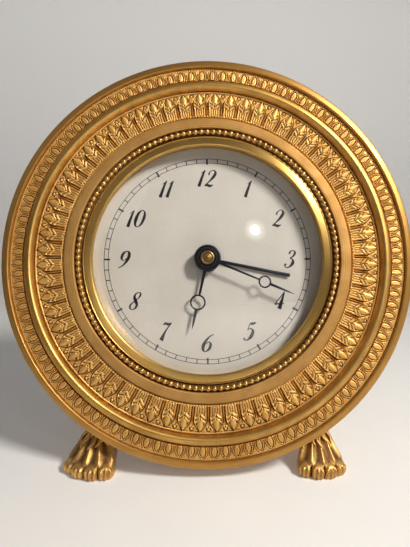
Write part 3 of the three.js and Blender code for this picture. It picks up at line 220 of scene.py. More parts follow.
def ribbon(path, widths, low, high):
    """Flat strip along a path in u and v, from w = low to w = high."""
    path = np.asarray(path, float)
    along = np.gradient(path, axis=0)
    side = rows(-along[:, 1], along[:, 0]) / np.linalg.norm(along, axis=1)[:, None]
    reach = side * np.asarray(widths)[:, None] / 2
    corners = []
    for edge, height in ((reach, high), (-reach, high), (-reach, low), (reach, low)):
        corners.append(np.column_stack([path + edge, np.full(len(path), height)]))
    quads, _, _ = grid(len(path), 4, False, True)
    last = 4 * (len(path) - 1)
    ends = [(3, 2, 1, 0), (last, last + 1, last + 2, last + 3)]
    return Shape(np.stack(corners, 1).reshape(-1, 3), [*quads, *ends])


def prism(loops, low, high, edge):
    """Flat solid from outlines in u and v, inner loops being holes, with its edges rounded."""
    curve = bpy.data.curves.new("outline", "CURVE")
    curve.dimensions = "2D"
    curve.fill_mode = "BOTH"
    curve.extrude = (high - low) / 2 - edge
    curve.bevel_depth = edge
    curve.bevel_resolution = EDGE_STEPS
    curve.offset = -edge
    for loop in loops:
        spline = curve.splines.new("POLY")
        spline.points.add(len(loop) - 1)
        for corner, point in zip(spline.points, loop):
            corner.co = (*point, 0, 1)
        spline.use_cyclic_u = True
    holder = linked("outline", curve)
    graph = bpy.context.evaluated_depsgraph_get()
    mesh = bpy.data.meshes.new_from_object(holder.evaluated_get(graph))
    points = np.array([vertex.co for vertex in mesh.vertices]) + [0, 0, (low + high) / 2]
    faces = [tuple(face.vertices) for face in mesh.polygons]
    bpy.data.objects.remove(holder)
    bpy.data.curves.remove(curve)
    bpy.data.meshes.remove(mesh)
    return Shape(points, faces)


def linked(name, data):
    """New object in the scene."""
    made = bpy.data.objects.new(name, data)
    bpy.context.collection.objects.link(made)
    return made


def circle(radius, centre=(0.0, 0.0), steps=SMALL_ROUND):
    turn = turns(steps)
    return rows(centre[0] + radius * np.sin(turn), centre[1] + radius * np.cos(turn))


def rounded_box(half_u, half_v, radius, centre):
    corners = []
    for su, sv, first in ((1, 1, 90), (1, -1, 0), (-1, -1, -90), (-1, 1, -180)):
        corner = (centre[0] + su * (half_u - radius), centre[1] + sv * (half_v - radius))
        corners.append(arc(corner, (radius, radius), first, first - 90, 6))
    return np.vstack(corners)


def turned(points, angle):
    """Points in u and v, turned clockwise about the centre."""
    c, s = cos(angle), sin(angle)
    points = np.asarray(points, float).copy()
    u, v = points[:, 0].copy(), points[:, 1].copy()
    points[:, 0] = u * c + v * s
    points[:, 1] = v * c - u * s
    return points


def on_face(points):
    return FACE_AT + np.asarray(points) @ FACE_AXES * MM


def in_world(points):
    return points * MM


def arbor_place(joint):
    """(u, v) of a joint's arbor."""
    offset = (np.array(JOINTS[joint]["pos_m"]) - FACE_AT) / MM
    return (float(offset @ FACE_AXES[0]), float(offset @ FACE_AXES[1]))


def worn(mesh, rounds, gain):
    """Relief by how far each point lies under its blurred surroundings, so that hollows get patina and
    painted shade.
    """
    count = len(mesh.vertices)
    place = np.empty(count * 3)
    mesh.vertices.foreach_get("co", place)
    place = place.reshape(-1, 3) / MM
    normal = np.empty(count * 3)
    mesh.vertices.foreach_get("normal", normal)
    edges = np.empty(len(mesh.edges) * 2, int)
    mesh.edges.foreach_get("vertices", edges)
    a, b = edges.reshape(-1, 2).T
    degree = np.maximum(np.bincount(edges, minlength=count), 1)
    soft = place
    for _ in range(rounds):
        total = [np.bincount(a, soft[b, k], count) + np.bincount(b, soft[a, k], count) for k in range(3)]
        soft = rows(*total) / degree[:, None]
    depth = ((soft - place) * normal.reshape(-1, 3)).sum(1)
    return np.clip(0.5 - gain * depth, 0, 1)


def finish_mesh(mesh, sharp):
    work = bmesh.new()
    work.from_mesh(mesh)
    bmesh.ops.remove_doubles(work, verts=work.verts, dist=MERGE)
    bmesh.ops.recalc_face_normals(work, faces=work.faces)
    work.to_mesh(mesh)
    work.free()
    mesh.shade_smooth()
    mesh.set_sharp_from_angle(angle=sharp)


def piece(name, shape, material, body="root", nodes=(), place=on_face, sharp=SHARP, patina_shade_blur=None):
    """One named mesh that rides a body and may stand for CAD nodes; the blur's rounds and gain, if given,
    darken its hollows with patina and painted shade.
    """
    mesh = bpy.data.meshes.new(name)
    mesh.from_pydata(place(shape.points).tolist(), [], shape.faces)
    layer = mesh.uv_layers.new(name="UVMap")
    layer.data.foreach_set("uv", shape.uv.astype(np.float32).ravel())
    relief = mesh.attributes.new("relief", "FLOAT", "POINT")
    relief.data.foreach_set("value", shape.relief.astype(np.float32))
    finish_mesh(mesh, sharp)
    # Hollows under their blurred surroundings get patina and painted shade
    if patina_shade_blur:
        values = np.empty(len(mesh.vertices), np.float32)
        mesh.attributes["relief"].data.foreach_get("value", values)
        values *= worn(mesh, *patina_shade_blur)
        mesh.attributes["relief"].data.foreach_set("value", values)
    mesh.materials.append(material)
    made = linked(name, mesh)
    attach(made, body)
    if nodes:
        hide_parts(*nodes)


# Materials
PATCH_SCALE = 160.0
GRAIN_SCALE = 2600.0
LINE_SCALE = 3.0
NOISE_ROUGH = 0.55
RAGGED = 0.06
HOLLOW_ROUGH = 0.22
BRUSH_TURN = 0.25
GLASS_IOR = 1.5
WHITE = (1.0, 1.0, 1.0, 1.0)

# Relief over which patina and painted shade give way to clean metal; the solids' own meshes carry no relief
HOLLOW = (0.25, 0.6)
NO_PATINA_OR_SHADE = (-1.0, -0.5)


def linear(red, green, blue):
    """Linear colour from 0-255 display values."""
    values = [channel / 255 for channel in (red, green, blue)]
    return (*[v / 12.92 if v <= 0.04045 else ((v + 0.055) / 1.055) ** 2.4 for v in values], 1.0)


def feed(socket, value):
    if isinstance(value, bpy.types.NodeSocket):
        socket.id_data.links.new(value, socket)
    else:
        socket.default_value = value


def node(tree, kind, inputs=None, **settings):
    """Outputs of a new node, its inputs linked or set."""
    made = tree.nodes.new("ShaderNode" + kind)
    for key, value in settings.items():
        setattr(made, key, value)
    for key, value in (inputs or {}).items():
        feed(made.inputs[key], value)
    return made.outputs


def noise(where, scale, detail=3.0):
    inputs = {"Vector": where, "Scale": scale, "Detail": detail, "Roughness": NOISE_ROUGH}
    return node(where.id_data, "TexNoise", inputs)["Fac"]


def spread(value, low, high, to_low=0.0, to_high=1.0):
    inputs = {"Value": value, "From Min": low, "From Max": high, "To Min": to_low, "To Max": to_high}
    return node(value.id_data, "MapRange", inputs)["Result"]


def blend(share, first, second):
    return node(share.id_data, "Mix", {0: share, 6: first, 7: second}, data_type="RGBA")[2]


def maths(kind, first, second):
    return node(first.id_data, "Math", {0: first, 1: second}, operation=kind)[0]


def new_look(name):
    """New material, with its tree, its shader and the object's coordinates."""
    material = bpy.data.materials.new(name)
    material.use_nodes = True
    tree = material.node_tree
    where = node(tree, "TexCoord")["Object"]
    return material, tree, tree.nodes["Principled BSDF"], where


def connect(shader, **inputs):
    for key, value in inputs.items():
        feed(shader.inputs[key.replace("_", " ").title().replace("Ior", "IOR")], value)


def show(surface):
    feed(surface.id_data.nodes["Material Output"].inputs["Surface"], surface)


def metal(name, bright, dull, patina_shade_colour, rough, lines=0.0, brushed=0.0, cast=0.0, hollow=HOLLOW, matt=0.0):
    """Worn metal: two tones in patches, patina and painted shade in the hollows, turned lines and cast grain
    in the bump.
    """
    material, tree, shader, where = new_look(name)
    patches = noise(where, PATCH_SCALE, 4.0)
    grain = noise(where, GRAIN_SCALE, 2.0)
    relief = node(tree, "Attribute", attribute_name="relief")["Fac"]
    height = spread(grain, 0.0, 1.0, 0.0, cast)
    share = spread(patches, 0.35, 0.65)
    if lines:
        uv = node(tree, "UVMap", uv_map="UVMap")[0]
        along = node(tree, "SeparateXYZ", {0: uv})[1]
        ringed = node(tree, "TexNoise", {"W": along, "Scale": LINE_SCALE, "Detail": 4.0},
                      noise_dimensions="1D")["Fac"]
        height = maths("ADD", height, spread(ringed, 0.0, 1.0, 0.0, lines))
        share = maths("ADD", maths("MULTIPLY", share, 0.5), spread(ringed, 0.3, 0.7, 0.0, 0.6))
    tone = blend(share, linear(*bright), linear(*dull))
    ragged = maths("ADD", relief, spread(grain, 0.3, 0.7, -RAGGED, RAGGED))
    # Patina and painted shade fill the hollows that the relief marks
    free_of_patina_and_shade = spread(ragged, *hollow)
    colour = blend(free_of_patina_and_shade, linear(*patina_shade_colour), tone)
    worn_rough = maths("ADD", spread(patches, 0.3, 0.7, rough - 0.05, rough + 0.06),
                       spread(free_of_patina_and_shade, 0.0, 1.0, HOLLOW_ROUGH, 0.0))
    marks = node(tree, "Bump", {"Height": height, "Strength": 1.0, "Distance": MM})
    connect(shader, base_color=colour, metallic=1.0 - matt, roughness=worn_rough, normal=marks[0])
    if brushed:
        tangent = node(tree, "Tangent", direction_type="UV_MAP", uv_map="UVMap")
        connect(shader, tangent=tangent[0], anisotropic=brushed, anisotropic_rotation=BRUSH_TURN)
    return material


def glass_material():
    material, tree, shader, where = new_look("clear_glass")
    haze = spread(noise(where, 60.0), 0.35, 0.75, 0.0, 0.03)
    connect(shader, base_color=WHITE, roughness=haze, ior=GLASS_IOR, transmission_weight=1.0,
            specular_ior_level=0.3)
    path = node(tree, "LightPath")
    unseen = maths("MAXIMUM", path["Is Shadow Ray"], path["Is Diffuse Ray"])
    clear = node(tree, "BsdfTransparent")
    show(node(tree, "MixShader", {0: unseen, 1: shader.outputs[0], 2: clear[0]})[0])
    return material


def enamel_material():
    material, tree, shader, where = new_look("white_enamel")
    cloud = spread(noise(where, 70.0), 0.35, 0.65)
    colour = blend(cloud, linear(204, 198, 187), linear(212, 206, 196))
    ripple = noise(where, 900.0, 1.0)
    peel = node(tree, "Bump", {"Height": ripple, "Strength": 0.06, "Distance": MM})
    connect(shader, base_color=colour, roughness=0.16, normal=peel[0])
    return material


def ink_material():
    material, _, shader, where = new_look("fired_black")
    thin = spread(noise(where, 1800.0), 0.45, 0.8)
    connect(shader, base_color=blend(thin, linear(24, 23, 26), linear(48, 46, 50)), roughness=0.3)
    return material


# Bright tone, dull tone, and patina with painted shade of each metal, in display values
DARK_GILT = (104, 70, 34)
BRASS_TONES = ((206, 172, 96), (172, 138, 70), (88, 66, 30))
STEEL_TONES = ((176, 178, 182), (140, 142, 148), (70, 70, 74))

GILT = metal("turned_gilt", (222, 176, 98), (198, 148, 76), (110, 74, 38), 0.42, lines=0.01, brushed=0.4,
             cast=0.004)
RIM = metal("worn_gilt", (200, 152, 82), (176, 130, 66), (92, 62, 30), 0.42, lines=0.01, brushed=0.3,
            cast=0.004, matt=0.12)
RIDGE = metal("burnished_gilt", (212, 167, 93), (184, 142, 76), DARK_GILT, 0.45, cast=0.003)
FLAT_GILT = metal("brushed_gilt", (206, 160, 94), (172, 128, 68), DARK_GILT, 0.62, lines=0.014, brushed=0.2,
                  cast=0.004, matt=0.2)
CHASED = metal("chased_gilt", (229, 180, 101), (208, 157, 83), (88, 60, 34), 0.52, cast=0.006,
               hollow=(0.12, 0.5), matt=0.36)
BEADED = metal("polished_gilt", (226, 182, 112), (200, 152, 84), (112, 72, 34), 0.36, cast=0.003)
CAST = metal("cast_gilt", (226, 180, 108), (196, 148, 84), (88, 62, 38), 0.46, cast=0.014,
             hollow=(0.18, 0.58), matt=0.12)
OLIVE = metal("olive_brass", (248, 204, 118), (218, 172, 96), (84, 54, 24), 0.38, lines=0.008, brushed=0.75,
              cast=0.002)
CAP = metal("dulled_brass", (190, 156, 96), (156, 122, 68), (66, 46, 22), 0.4, lines=0.01, brushed=0.3,
            cast=0.003)
BRASS = metal("lacquered_brass", *BRASS_TONES, 0.3, lines=0.01, brushed=0.4, cast=0.004)
STEEL = metal("bright_steel", *STEEL_TONES, 0.28, cast=0.004)
BLUED = metal("blued_steel", (80, 82, 90), (56, 56, 64), (22, 22, 26), 0.32, cast=0.002)
MOVEMENT_BRASS = metal("plain_brass", *BRASS_TONES, 0.34, cast=0.004, hollow=NO_PATINA_OR_SHADE)
MOVEMENT_STEEL = metal("plain_steel", *STEEL_TONES, 0.3, cast=0.004, hollow=NO_PATINA_OR_SHADE)
GLASS = glass_material()
ENAMEL = enamel_material()
INK = ink_material()

# Bezel: the rim's and the ridge's rounding, as radius and w
RIM_PATH = [(FRAME_RADIUS, LEAF_FLOOR), (63.34, -0.1), (63.2, 0.45), (62.96, 0.8), (62.6, 0.98), (62.1, 1.09),
            (61.6, 1.17), (61.3, 1.2), (61.08, 1.15), (60.93, 0.98), (60.86, 0.7)]
RIDGE_PATH = [(56.66, -0.25), (56.58, 0.2), (56.44, 0.58), (56.2, 0.88), (55.86, 1.09), (55.4, 1.23),
              (54.9, 1.3), (54.58, 1.23), (54.3, 1.03), (54.06, 0.74), (53.86, 0.42), (53.72, 0.12),
              (53.64, -0.1)]
PATH_STEPS = 4
CORE_FRONT = -2.6
MOULD_BACK = -2.8
FLAT_TOP = 0.03
GLASS_REBATE = 0.9
BEADS = 132
BEAD_CIRCLE = 40.05
BEAD_RADIUS = 0.8
BEAD_W = BEAD_SEAT + 1.125
WIRE_RADIUS = 0.5


def glass_front(radius):
    """Depth of the dome's outer face behind the flat ring."""
    sphere = (GLASS_RADIUS ** 2 + GLASS_RISE ** 2) / (2 * GLASS_RISE)
    sag = [sphere - np.sqrt(sphere ** 2 - np.asarray(r, float) ** 2) for r in (radius, SIGHT)]
    return -BEVEL_BACK + SIGHT_LIP + SEAT + sag[0] - sag[1]


def make_bezel():
    side = FRAME_RADIUS - 0.1
    core = [(FRAME_BORE, FRAME_BACK), (side - 1.1, FRAME_BACK), (side - 0.2, FRAME_BACK + 0.7),
            (side, FRAME_BACK + 1.4), (side, CORE_FRONT), (FRAME_BORE, CORE_FRONT)]
    piece("bezel_core", lathe(core), GILT, nodes=["front_frame"])

    rim = smooth_path(RIM_PATH, PATH_STEPS)
    overhang = np.maximum(rim[:, 1] - LEAF_FLOOR, 0) * tan(LEAN)
    rim[:, 0] = np.minimum(rim[:, 0], FRAME_RADIUS - overhang)
    rim = np.vstack([
        [(FRAME_RADIUS - 0.15, MOULD_BACK), (FRAME_RADIUS, CORE_FRONT)],
        rim,
        [(LEAF_OUTER, LEAF_FLOOR + 0.5), (LEAF_OUTER, MOULD_BACK)],
    ])
    piece("rim_moulding", lathe(rim), RIM)

    ridge = np.vstack([
        [(RIDGE_OUTER, MOULD_BACK), (RIDGE_OUTER, -0.4), (RIDGE_OUTER - 0.12, -0.25)],
        smooth_path(RIDGE_PATH, PATH_STEPS),
        [(LANCET_OUTER, -0.35), (LANCET_OUTER, MOULD_BACK)],
    ])
    piece("ridge_moulding", lathe(ridge), RIDGE)

    flat = np.vstack([
        [(FLAT_OUTER, MOULD_BACK), (FLAT_OUTER, -1.2), (FLAT_OUTER - 0.1, -0.9)],
        arc((FLAT_OUTER - 0.42, -0.25), (0.25, 0.25), 5, 90, 5),
        [(FLAT_OUTER - 0.9, FLAT_TOP), (FLAT_INNER + 0.8, FLAT_TOP)],
        arc((FLAT_INNER + 0.3, -0.3), (0.3, 0.3), 90, 180, 4),
        [(FLAT_INNER, BEAD_SEAT + 0.3), (FLAT_INNER - 0.1, BEAD_SEAT)],
        [(FRAME_BORE, BEAD_SEAT), (FRAME_BORE, MOULD_BACK)],
    ])
    # The floors of the channels beside the flat ring take patina and painted shade
    relief = np.where(flat[:, 1] < -0.8, 0.35, 1.0)
    piece("flat_ring", lathe(flat, relief=relief), FLAT_GILT)

    rebate = SIGHT_OUTER - GLASS_REBATE
    back = -glass_front(GLASS_RADIUS) - GLASS_THICKNESS
    sight = np.vstack([
        [(SIGHT_OUTER, BEVEL_FRONT - 0.8)],
        arc((SIGHT_OUTER - 0.2, BEVEL_FRONT - 0.15), (0.2, 0.2), 0, 180, 8),
        [(SIGHT_OUTER - 0.45, BEVEL_FRONT - 0.4), (SIGHT_OUTER - 0.55, BEVEL_FRONT - 0.05)],
        [(SIGHT_OUTER - 0.7, BEVEL_FRONT), (SIGHT + 0.45, BEVEL_FRONT - 0.14)],
        arc((SIGHT + 0.4, BEVEL_FRONT - 0.5), (0.4, 0.36), 90, 180, 7),
        [(SIGHT, BEVEL_BACK), (SIGHT, BEVEL_BACK - SIGHT_LIP)],
        [(rebate, -glass_front(rebate) + SEAT), (rebate, back), (SIGHT_OUTER, back)],
    ])
    # The channel at the bevel's outer edge and the back of its lip take patina and painted shade
    groove = (sight[:, 1] < BEVEL_FRONT - 0.35) & (sight[:, 0] > SIGHT)
    relief = np.where(groove | (sight[:, 1] < BEVEL_BACK), 0.1, 1.0)
    piece("sight_bevel", lathe(sight, relief=relief), OLIVE, nodes=["sight_ring"])

    one = ball(BEAD_RADIUS)
    string = lathe(arc((BEAD_CIRCLE, BEAD_W), (WIRE_RADIUS, WIRE_RADIUS), 0, 345, 10))
    # The wire under the beads takes patina and painted shade
    string.relief[:] = 0.4
    beads = [one.moved((*BEAD_CIRCLE * np.array([sin(a), cos(a)]), BEAD_W)) for a in turns(BEADS)]
    piece("bead_string", combine(string, *beads), BEADED, nodes=["bead_ring"])


# Friezes: leaves to a ring, points across a leaf and outwards, the ground's w, and the blur that puts patina
# and painted shade in the hollows
LANCETS = 64
LANCET_GRID = (44, 60)
LANCET_BASE = -1.05
LANCET_PATINA_SHADE = (6, 4.0)
SMALL_LEAVES = 108
LEAF_GRID = (28, 30)
LEAF_BASE = -0.3
LEAF_PATINA_SHADE = (5, 4.0)
BAND_GAP = 0.1
FLOOR_GAP = 0.05

# Lancet leaf, in millimetres outwards, and as shares of the pitch across
ARCH_START = 4.6
ARCH_LENGTH = 3.8
ARCH_HALF = 0.405
LOBE_START = 2.4
LOBE_LENGTH = 1.25
FLUTE = 0.72
FOOT_BARS = 5
BUD_START = 4.4
BUD_LENGTH = 3.75
BUD_HALF = 0.2
DROP_AT = 7.55
DROP_RADIUS = 0.5
PETAL_AT = 6.85
PETAL_ASIDE = 0.34
PETAL_RADIUS = 0.32

# Small leaf
LEAF_TIP = 3.15
LEAF_WIDEST = 0.42
LEAF_HALF = 0.235
LEAF_GROUND = 0.36


def relief_ring(inner, outer, base, floor, units, fineness, height):
    """Ring of a carved motif; height(s, t, pitch) has s from -0.5 to 0.5 across a unit and t outwards."""
    across, radial = fineness
    steps = units * across
    t = np.linspace(0, 1, radial)
    s = (np.arange(steps) / across) % 1 - 0.5
    inner, outer = inner + BAND_GAP, outer - BAND_GAP
    radius = inner + (outer - inner) * t
    pitch = 2 * pi * radius / units
    surface = base + height(s[:, None], t[None, :], pitch[None, :])
    radii = np.concatenate([radius, [outer, inner]])
    w = np.column_stack([surface, np.full((steps, 2), floor + FLOOR_GAP)])
    points = spun(radii[None, :], w, turns(steps)[:, None])
    quads, cu, cv = grid(steps, len(radii), True, True)
    uv = rows(cu / across, cv / radial).reshape(-1, 2)
    return Shape(points, quads, uv)


def step(value, low, high):
    x = np.clip((value - low) / (high - low), 0, 1)
    return x * x * (3 - 2 * x)


def plateau(value, low, full, still, gone):
    return step(value, low, full) * (1 - step(value, still, gone))


def bump(distance, width):
    return np.exp(-(distance / width) ** 2)


def dome(distance, radius):
    return np.sqrt(np.clip(1 - (distance / radius) ** 2, 0, 1))


def lancet_height(s, t, pitch):
    """Pointed arch over a long bud, with lobes and a fluted foot; a drop hangs between two arches."""
    across = np.abs(s) * pitch
    along = t * (LANCET_OUTER - FLAT_OUTER)
    between = (0.5 - np.abs(s)) * pitch
    narrowing = np.clip((along - ARCH_START) / ARCH_LENGTH, 0, 1) ** 1.9
    inside = ARCH_HALF * pitch * (1 - narrowing) - across

    rise = along - 0.95 * across + 0.1 * across ** 2
    lobes = np.abs(np.sin(pi * (rise - LOBE_START) / LOBE_LENGTH)) ** 0.8
    lobes *= plateau(rise, 2.3, 2.7, 4.7, 5.0)
    midrib = bump(across, 0.15) * plateau(along, 2.3, 2.8, 4.6, 5.1)
    fluted = 0.12 * np.cos(2 * pi * across / FLUTE) * (1 - step(rise, 2.1, 2.6))
    leaf = 0.42 + 0.24 * dome(across, 0.44 * pitch) + 0.34 * lobes - 0.3 * midrib + fluted
    leaf = leaf - 0.3 * step(rise, 4.7, 5.2) + 0.34 * bump(inside - 0.2, 0.15) * step(along, 2.4, 3.4)

    risen = np.clip((along - BUD_START) / BUD_LENGTH, 0, 1)
    bud_half = np.maximum(BUD_HALF * pitch * np.sin(pi * risen ** 0.8) ** 0.9, 0.02)
    bud = 0.5 + 0.6 * dome(across, bud_half) * step(along, 4.5, 4.9)
    leaf = np.maximum(leaf - 0.14 * bump(across - bud_half - 0.1, 0.12) * step(along, 4.5, 5.0), bud)

    ground = 0.14 + 0.14 * step(along, 5.4, 6.4) + 0.26 * bump(between, 0.12) * (1 - step(along, 5.2, 6.0))
    drop_off = np.hypot(between, along - DROP_AT)
    petal_off = np.hypot(between - PETAL_ASIDE, along - PETAL_AT)
    drop = np.maximum(0.7 * dome(drop_off, DROP_RADIUS), 0.55 * dome(petal_off, PETAL_RADIUS))
    surface = ground + (leaf - ground) * step(inside, -0.04, 0.12)
    surface = np.maximum(surface - 0.22 * bump(drop_off - 0.62, 0.14), drop)
    surface -= 0.3 * bump(inside + 0.02, 0.15) * (1 - step(along, 8.3, 8.6))

    bars = 0.25 + 0.4 * dome(np.abs((s * FOOT_BARS) % 1 - 0.5) * 2, 1)
    surface += (bars - surface) * (1 - step(along, 0.7, 0.95))
    surface += (0.62 - surface) * plateau(along, 8.42, 8.52, 8.72, 8.82)
    return surface * step(along, 0.15, 0.4)


def small_leaf_height(s, t, pitch):
    """Pointed oval leaf in a raised outline, and a thin rib between two leaves."""
    across = np.abs(s) * pitch
    along = t * (LEAF_OUTER - RIDGE_OUTER)
    up = along / LEAF_TIP
    below = 1 - 0.4 * (np.clip(LEAF_WIDEST - up, 0, 1) / LEAF_WIDEST) ** 2
    above = np.clip(1 - (np.clip(up - LEAF_WIDEST, 0, 1) / (1 - LEAF_WIDEST)) ** 2, 0, 1) ** 0.8
    half = LEAF_HALF * pitch * below * above
    inside = np.where(along > LEAF_TIP, -np.hypot(across, along - LEAF_TIP), half - across)
    leaf = 0.34 * dome(across, np.maximum(half, 0.05)) - 0.12 * bump(across, 0.1)
    surface = LEAF_GROUND + leaf * step(inside, -0.06, 0.08)
    surface -= 0.26 * bump(inside + 0.13, 0.11)
    surface += 0.3 * bump(inside + 0.42, 0.18) - 0.14 * bump(inside + 0.72, 0.12)
    surface += 0.16 * bump((0.5 - np.abs(s)) * pitch, 0.12) * (1 - step(along, 2.4, 3.0))
    return surface + (0.42 - surface) * step(along, 3.55, 3.68)


def make_carvings():
    lancets = relief_ring(FLAT_OUTER, LANCET_OUTER, LANCET_BASE, LANCET_FLOOR, LANCETS, LANCET_GRID,
                          lancet_height)
    piece("lancet_carving", lancets, CHASED, nodes=["lancet_leaf_band"], sharp=CARVED_SHARP,
          patina_shade_blur=LANCET_PATINA_SHADE)
    leaves = relief_ring(RIDGE_OUTER, LEAF_OUTER, LEAF_BASE, LEAF_FLOOR, SMALL_LEAVES, LEAF_GRID,
                         small_leaf_height)
    piece("small_leaf_carving", leaves, CHASED, nodes=["outer_leaf_band"], sharp=CARVED_SHARP,
          patina_shade_blur=LEAF_PATINA_SHADE)


# Glass and dial
GLASS_STEPS = 40
SPACER_WIDTH = 1.9
DIAL_HOLE = 3.7
INK_TOP = DIAL_FRONT + 0.02
TRACK_OUTER = 33.4
TRACK_INNER = 32.05
TRACK_HALF = 0.095
MINUTE_WIDTH = 0.28
HOUR_WIDTH = 0.55
HOUR_REACH = 0.55
NUMERAL_RADIUS = 26.8
NUMERAL_HEIGHT = 5.5
NUMERAL_NARROW = 0.8
NUMERAL_WEIGHT = 1.2
SLANT = 0.31
ADVANCE = 0.62
ADVANCE_ONE = 0.4

# Strokes of each digit before slanting: x, y and width, in hundredths of its height
DIGITS = {
    "0": [[(62, 50, 15), (56, 84, 10), (34, 100, 4), (12, 84, 11), (5, 50, 16), (10, 16, 11), (32, 0, 4),
           (54, 16, 10), (62, 50, 15)]],
    "1": [[(22, 100, 5), (17, 82, 10), (14, 45, 13), (12, 0, 16)], [(-2, 80, 3), (10, 88, 4), (22, 100, 5)]],
    "2": [[(10, 70, 9), (10, 86, 6), (32, 100, 4), (55, 84, 12), (50, 60, 14), (28, 30, 7), (2, 5, 4)],
          [(2, 5, 5), (20, 9, 12), (44, 3, 13), (64, 10, 4)]],
    "3": [[(13, 80, 11), (17, 95, 6), (36, 100, 4), (53, 87, 11), (46, 66, 8), (26, 55, 4)],
          [(26, 55, 4), (50, 46, 8), (58, 25, 16), (43, 4, 8), (20, 0, 5), (5, 10, 7), (9, 22, 11)]],
    "4": [[(45, 100, 4), (22, 62, 5), (0, 29, 5)], [(0, 28, 10), (28, 30, 5), (66, 31, 6)],
          [(45, 100, 5), (44, 50, 13), (43, 0, 20)]],
    "5": [[(16, 96, 5), (34, 94, 13), (60, 100, 5)], [(18, 97, 4), (13, 58, 4)],
          [(13, 58, 4), (33, 66, 5), (55, 50, 13), (52, 20, 16), (34, 2, 7), (12, 1, 5), (4, 13, 10)]],
    "6": [[(56, 99, 4), (28, 82, 7), (7, 45, 15), (11, 13, 14), (32, 0, 5), (54, 14, 12), (56, 40, 12),
           (38, 55, 4), (16, 42, 5)]],
    "7": [[(4, 90, 5), (18, 97, 12), (40, 92, 13), (62, 100, 4)], [(62, 100, 4), (36, 55, 8), (24, 0, 20)]],
    "8": [[(38, 100, 4), (20, 91, 7), (17, 73, 12), (33, 52, 16), (51, 30, 13), (49, 10, 9), (30, 0, 4),
           (9, 10, 9), (7, 28, 8), (25, 47, 4), (46, 64, 5), (56, 82, 9), (51, 96, 6), (38, 100, 4)]],
}
DIGITS["9"] = [[(62 - x, 100 - y, width) for x, y, width in stroke] for stroke in DIGITS["6"]]


def numeral(text, centre):
    shapes = []
    left = 0.0
    for digit in text:
        for stroke in DIGITS[digit]:
            path = smooth_path(np.array(stroke) / 100)
            across = path[:, 0] * NUMERAL_NARROW + left + SLANT * path[:, 1]
            line = rows(across, path[:, 1]) * NUMERAL_HEIGHT
            width = path[:, 2] * NUMERAL_HEIGHT * NUMERAL_WEIGHT
            shapes.append(ribbon(line, width, DIAL_FRONT, INK_TOP))
        left += ADVANCE_ONE if digit == "1" else ADVANCE
    whole = combine(*shapes)
    middle = (whole.points.min(0) + whole.points.max(0)) / 2
    return whole.moved((centre[0] - middle[0], centre[1] - middle[1], 0))


def make_dial():
    apex = np.linspace(0, GLASS_RADIUS, GLASS_STEPS)
    outer = rows(apex, -glass_front(apex))
    inner = rows(apex, -glass_front(apex) - GLASS_THICKNESS)[::-1]
    piece("domed_glass", lathe(np.vstack([outer, inner])), GLASS, nodes=["glass"], sharp=GLASS_SHARP)

    front = -glass_front(GLASS_RADIUS) - GLASS_THICKNESS - SEAT
    back = DIAL_FRONT + SEAT
    bore = SIGHT_OUTER - SPACER_WIDTH
    spacer = [(SIGHT_OUTER, front), (bore, front), (bore, back), (SIGHT_OUTER, back)]
    piece("spacer_ring", lathe(spacer), OLIVE, nodes=["dial_spacer"])

    plate = np.vstack([
        [(DIAL_HOLE, DIAL_BACK), (DIAL_HOLE, DIAL_FRONT - 0.1)],
        arc((DIAL_HOLE + 0.2, DIAL_FRONT - 0.2), (0.2, 0.2), 180, 90, 4),
        np.linspace([6, DIAL_FRONT], [DIAL_RADIUS - 1.0, DIAL_FRONT], 8),
        arc((DIAL_RADIUS - 0.3, DIAL_FRONT - 0.3), (0.3, 0.3), 90, 0, 4),
        [(DIAL_RADIUS, DIAL_BACK)],
    ])
    piece("enamel_dial", lathe(plate), ENAMEL, nodes=["dial"])

    marks = []
    for radius in (TRACK_OUTER, TRACK_INNER):
        near, far = radius - TRACK_HALF, radius + TRACK_HALF
        marks.append(lathe([(near, DIAL_FRONT), (near, INK_TOP), (far, INK_TOP), (far, DIAL_FRONT)]))
    for minute in range(60):
        hour = minute % 5 == 0
        reach = [(0, TRACK_INNER - HOUR_REACH * hour), (0, TRACK_OUTER)]
        width = HOUR_WIDTH if hour else MINUTE_WIDTH
        line = turned(reach, radians(6 * minute))
        marks.append(ribbon(line, [width, width], DIAL_FRONT, INK_TOP))
    piece("minute_track", combine(*marks), INK)

    hours = []
    for hour in range(1, 13):
        hours.append(numeral(str(hour), turned([(0, NUMERAL_RADIUS)], radians(30 * hour))[0]))
    piece("hour_numerals", combine(*hours), INK)


# Hands: height of each front above the dial, and angle past twelve
HAND_THICKNESS = 0.4
HAND_EDGE = 0.09
MINUTE_LIFT = 4.0
HOUR_LIFT = 2.15
ALARM_LIFT = 1.05
MINUTE_ANGLE = radians(113)
HOUR_ANGLE = radians(192.5)
ALARM_ANGLE = radians(101.5)
MINUTE_BOSS = 4.2
MINUTE_BORE = 1.45
RING_WIRE = 0.5


def hand(name, outlines, lift, angle, body, node_name):
    front = DIAL_FRONT + lift
    shapes = []
    for loops in outlines:
        pointed = [turned(loop, angle) for loop in loops]
        shapes.append(prism(pointed, front - HAND_THICKNESS, front, HAND_EDGE))
    piece(name, combine(*shapes), BLUED, body, [node_name])


def ring_hand(boss, bore, shaft, ring_at, ring, tip, length):
    """Outlines of a boss, a tapering shaft, a ring and a point."""
    low = ring_at - ring + RING_WIRE * 0.6
    high = ring_at + ring - RING_WIRE * 0.6
    thin, narrow, neck = shaft * 0.62, tip * 0.75, length * 0.9
    rod = [(-shaft, boss - 0.3), (shaft, boss - 0.3), (thin, low), (-thin, low)]
    point = [(-tip, high), (tip, high), (narrow, neck), (0.06, length), (-0.06, length), (-narrow, neck)]
    hoop = [circle(ring, (0, ring_at)), circle(ring - RING_WIRE, (0, ring_at))]
    return [[circle(boss), circle(bore)], [rod], hoop, [point]]


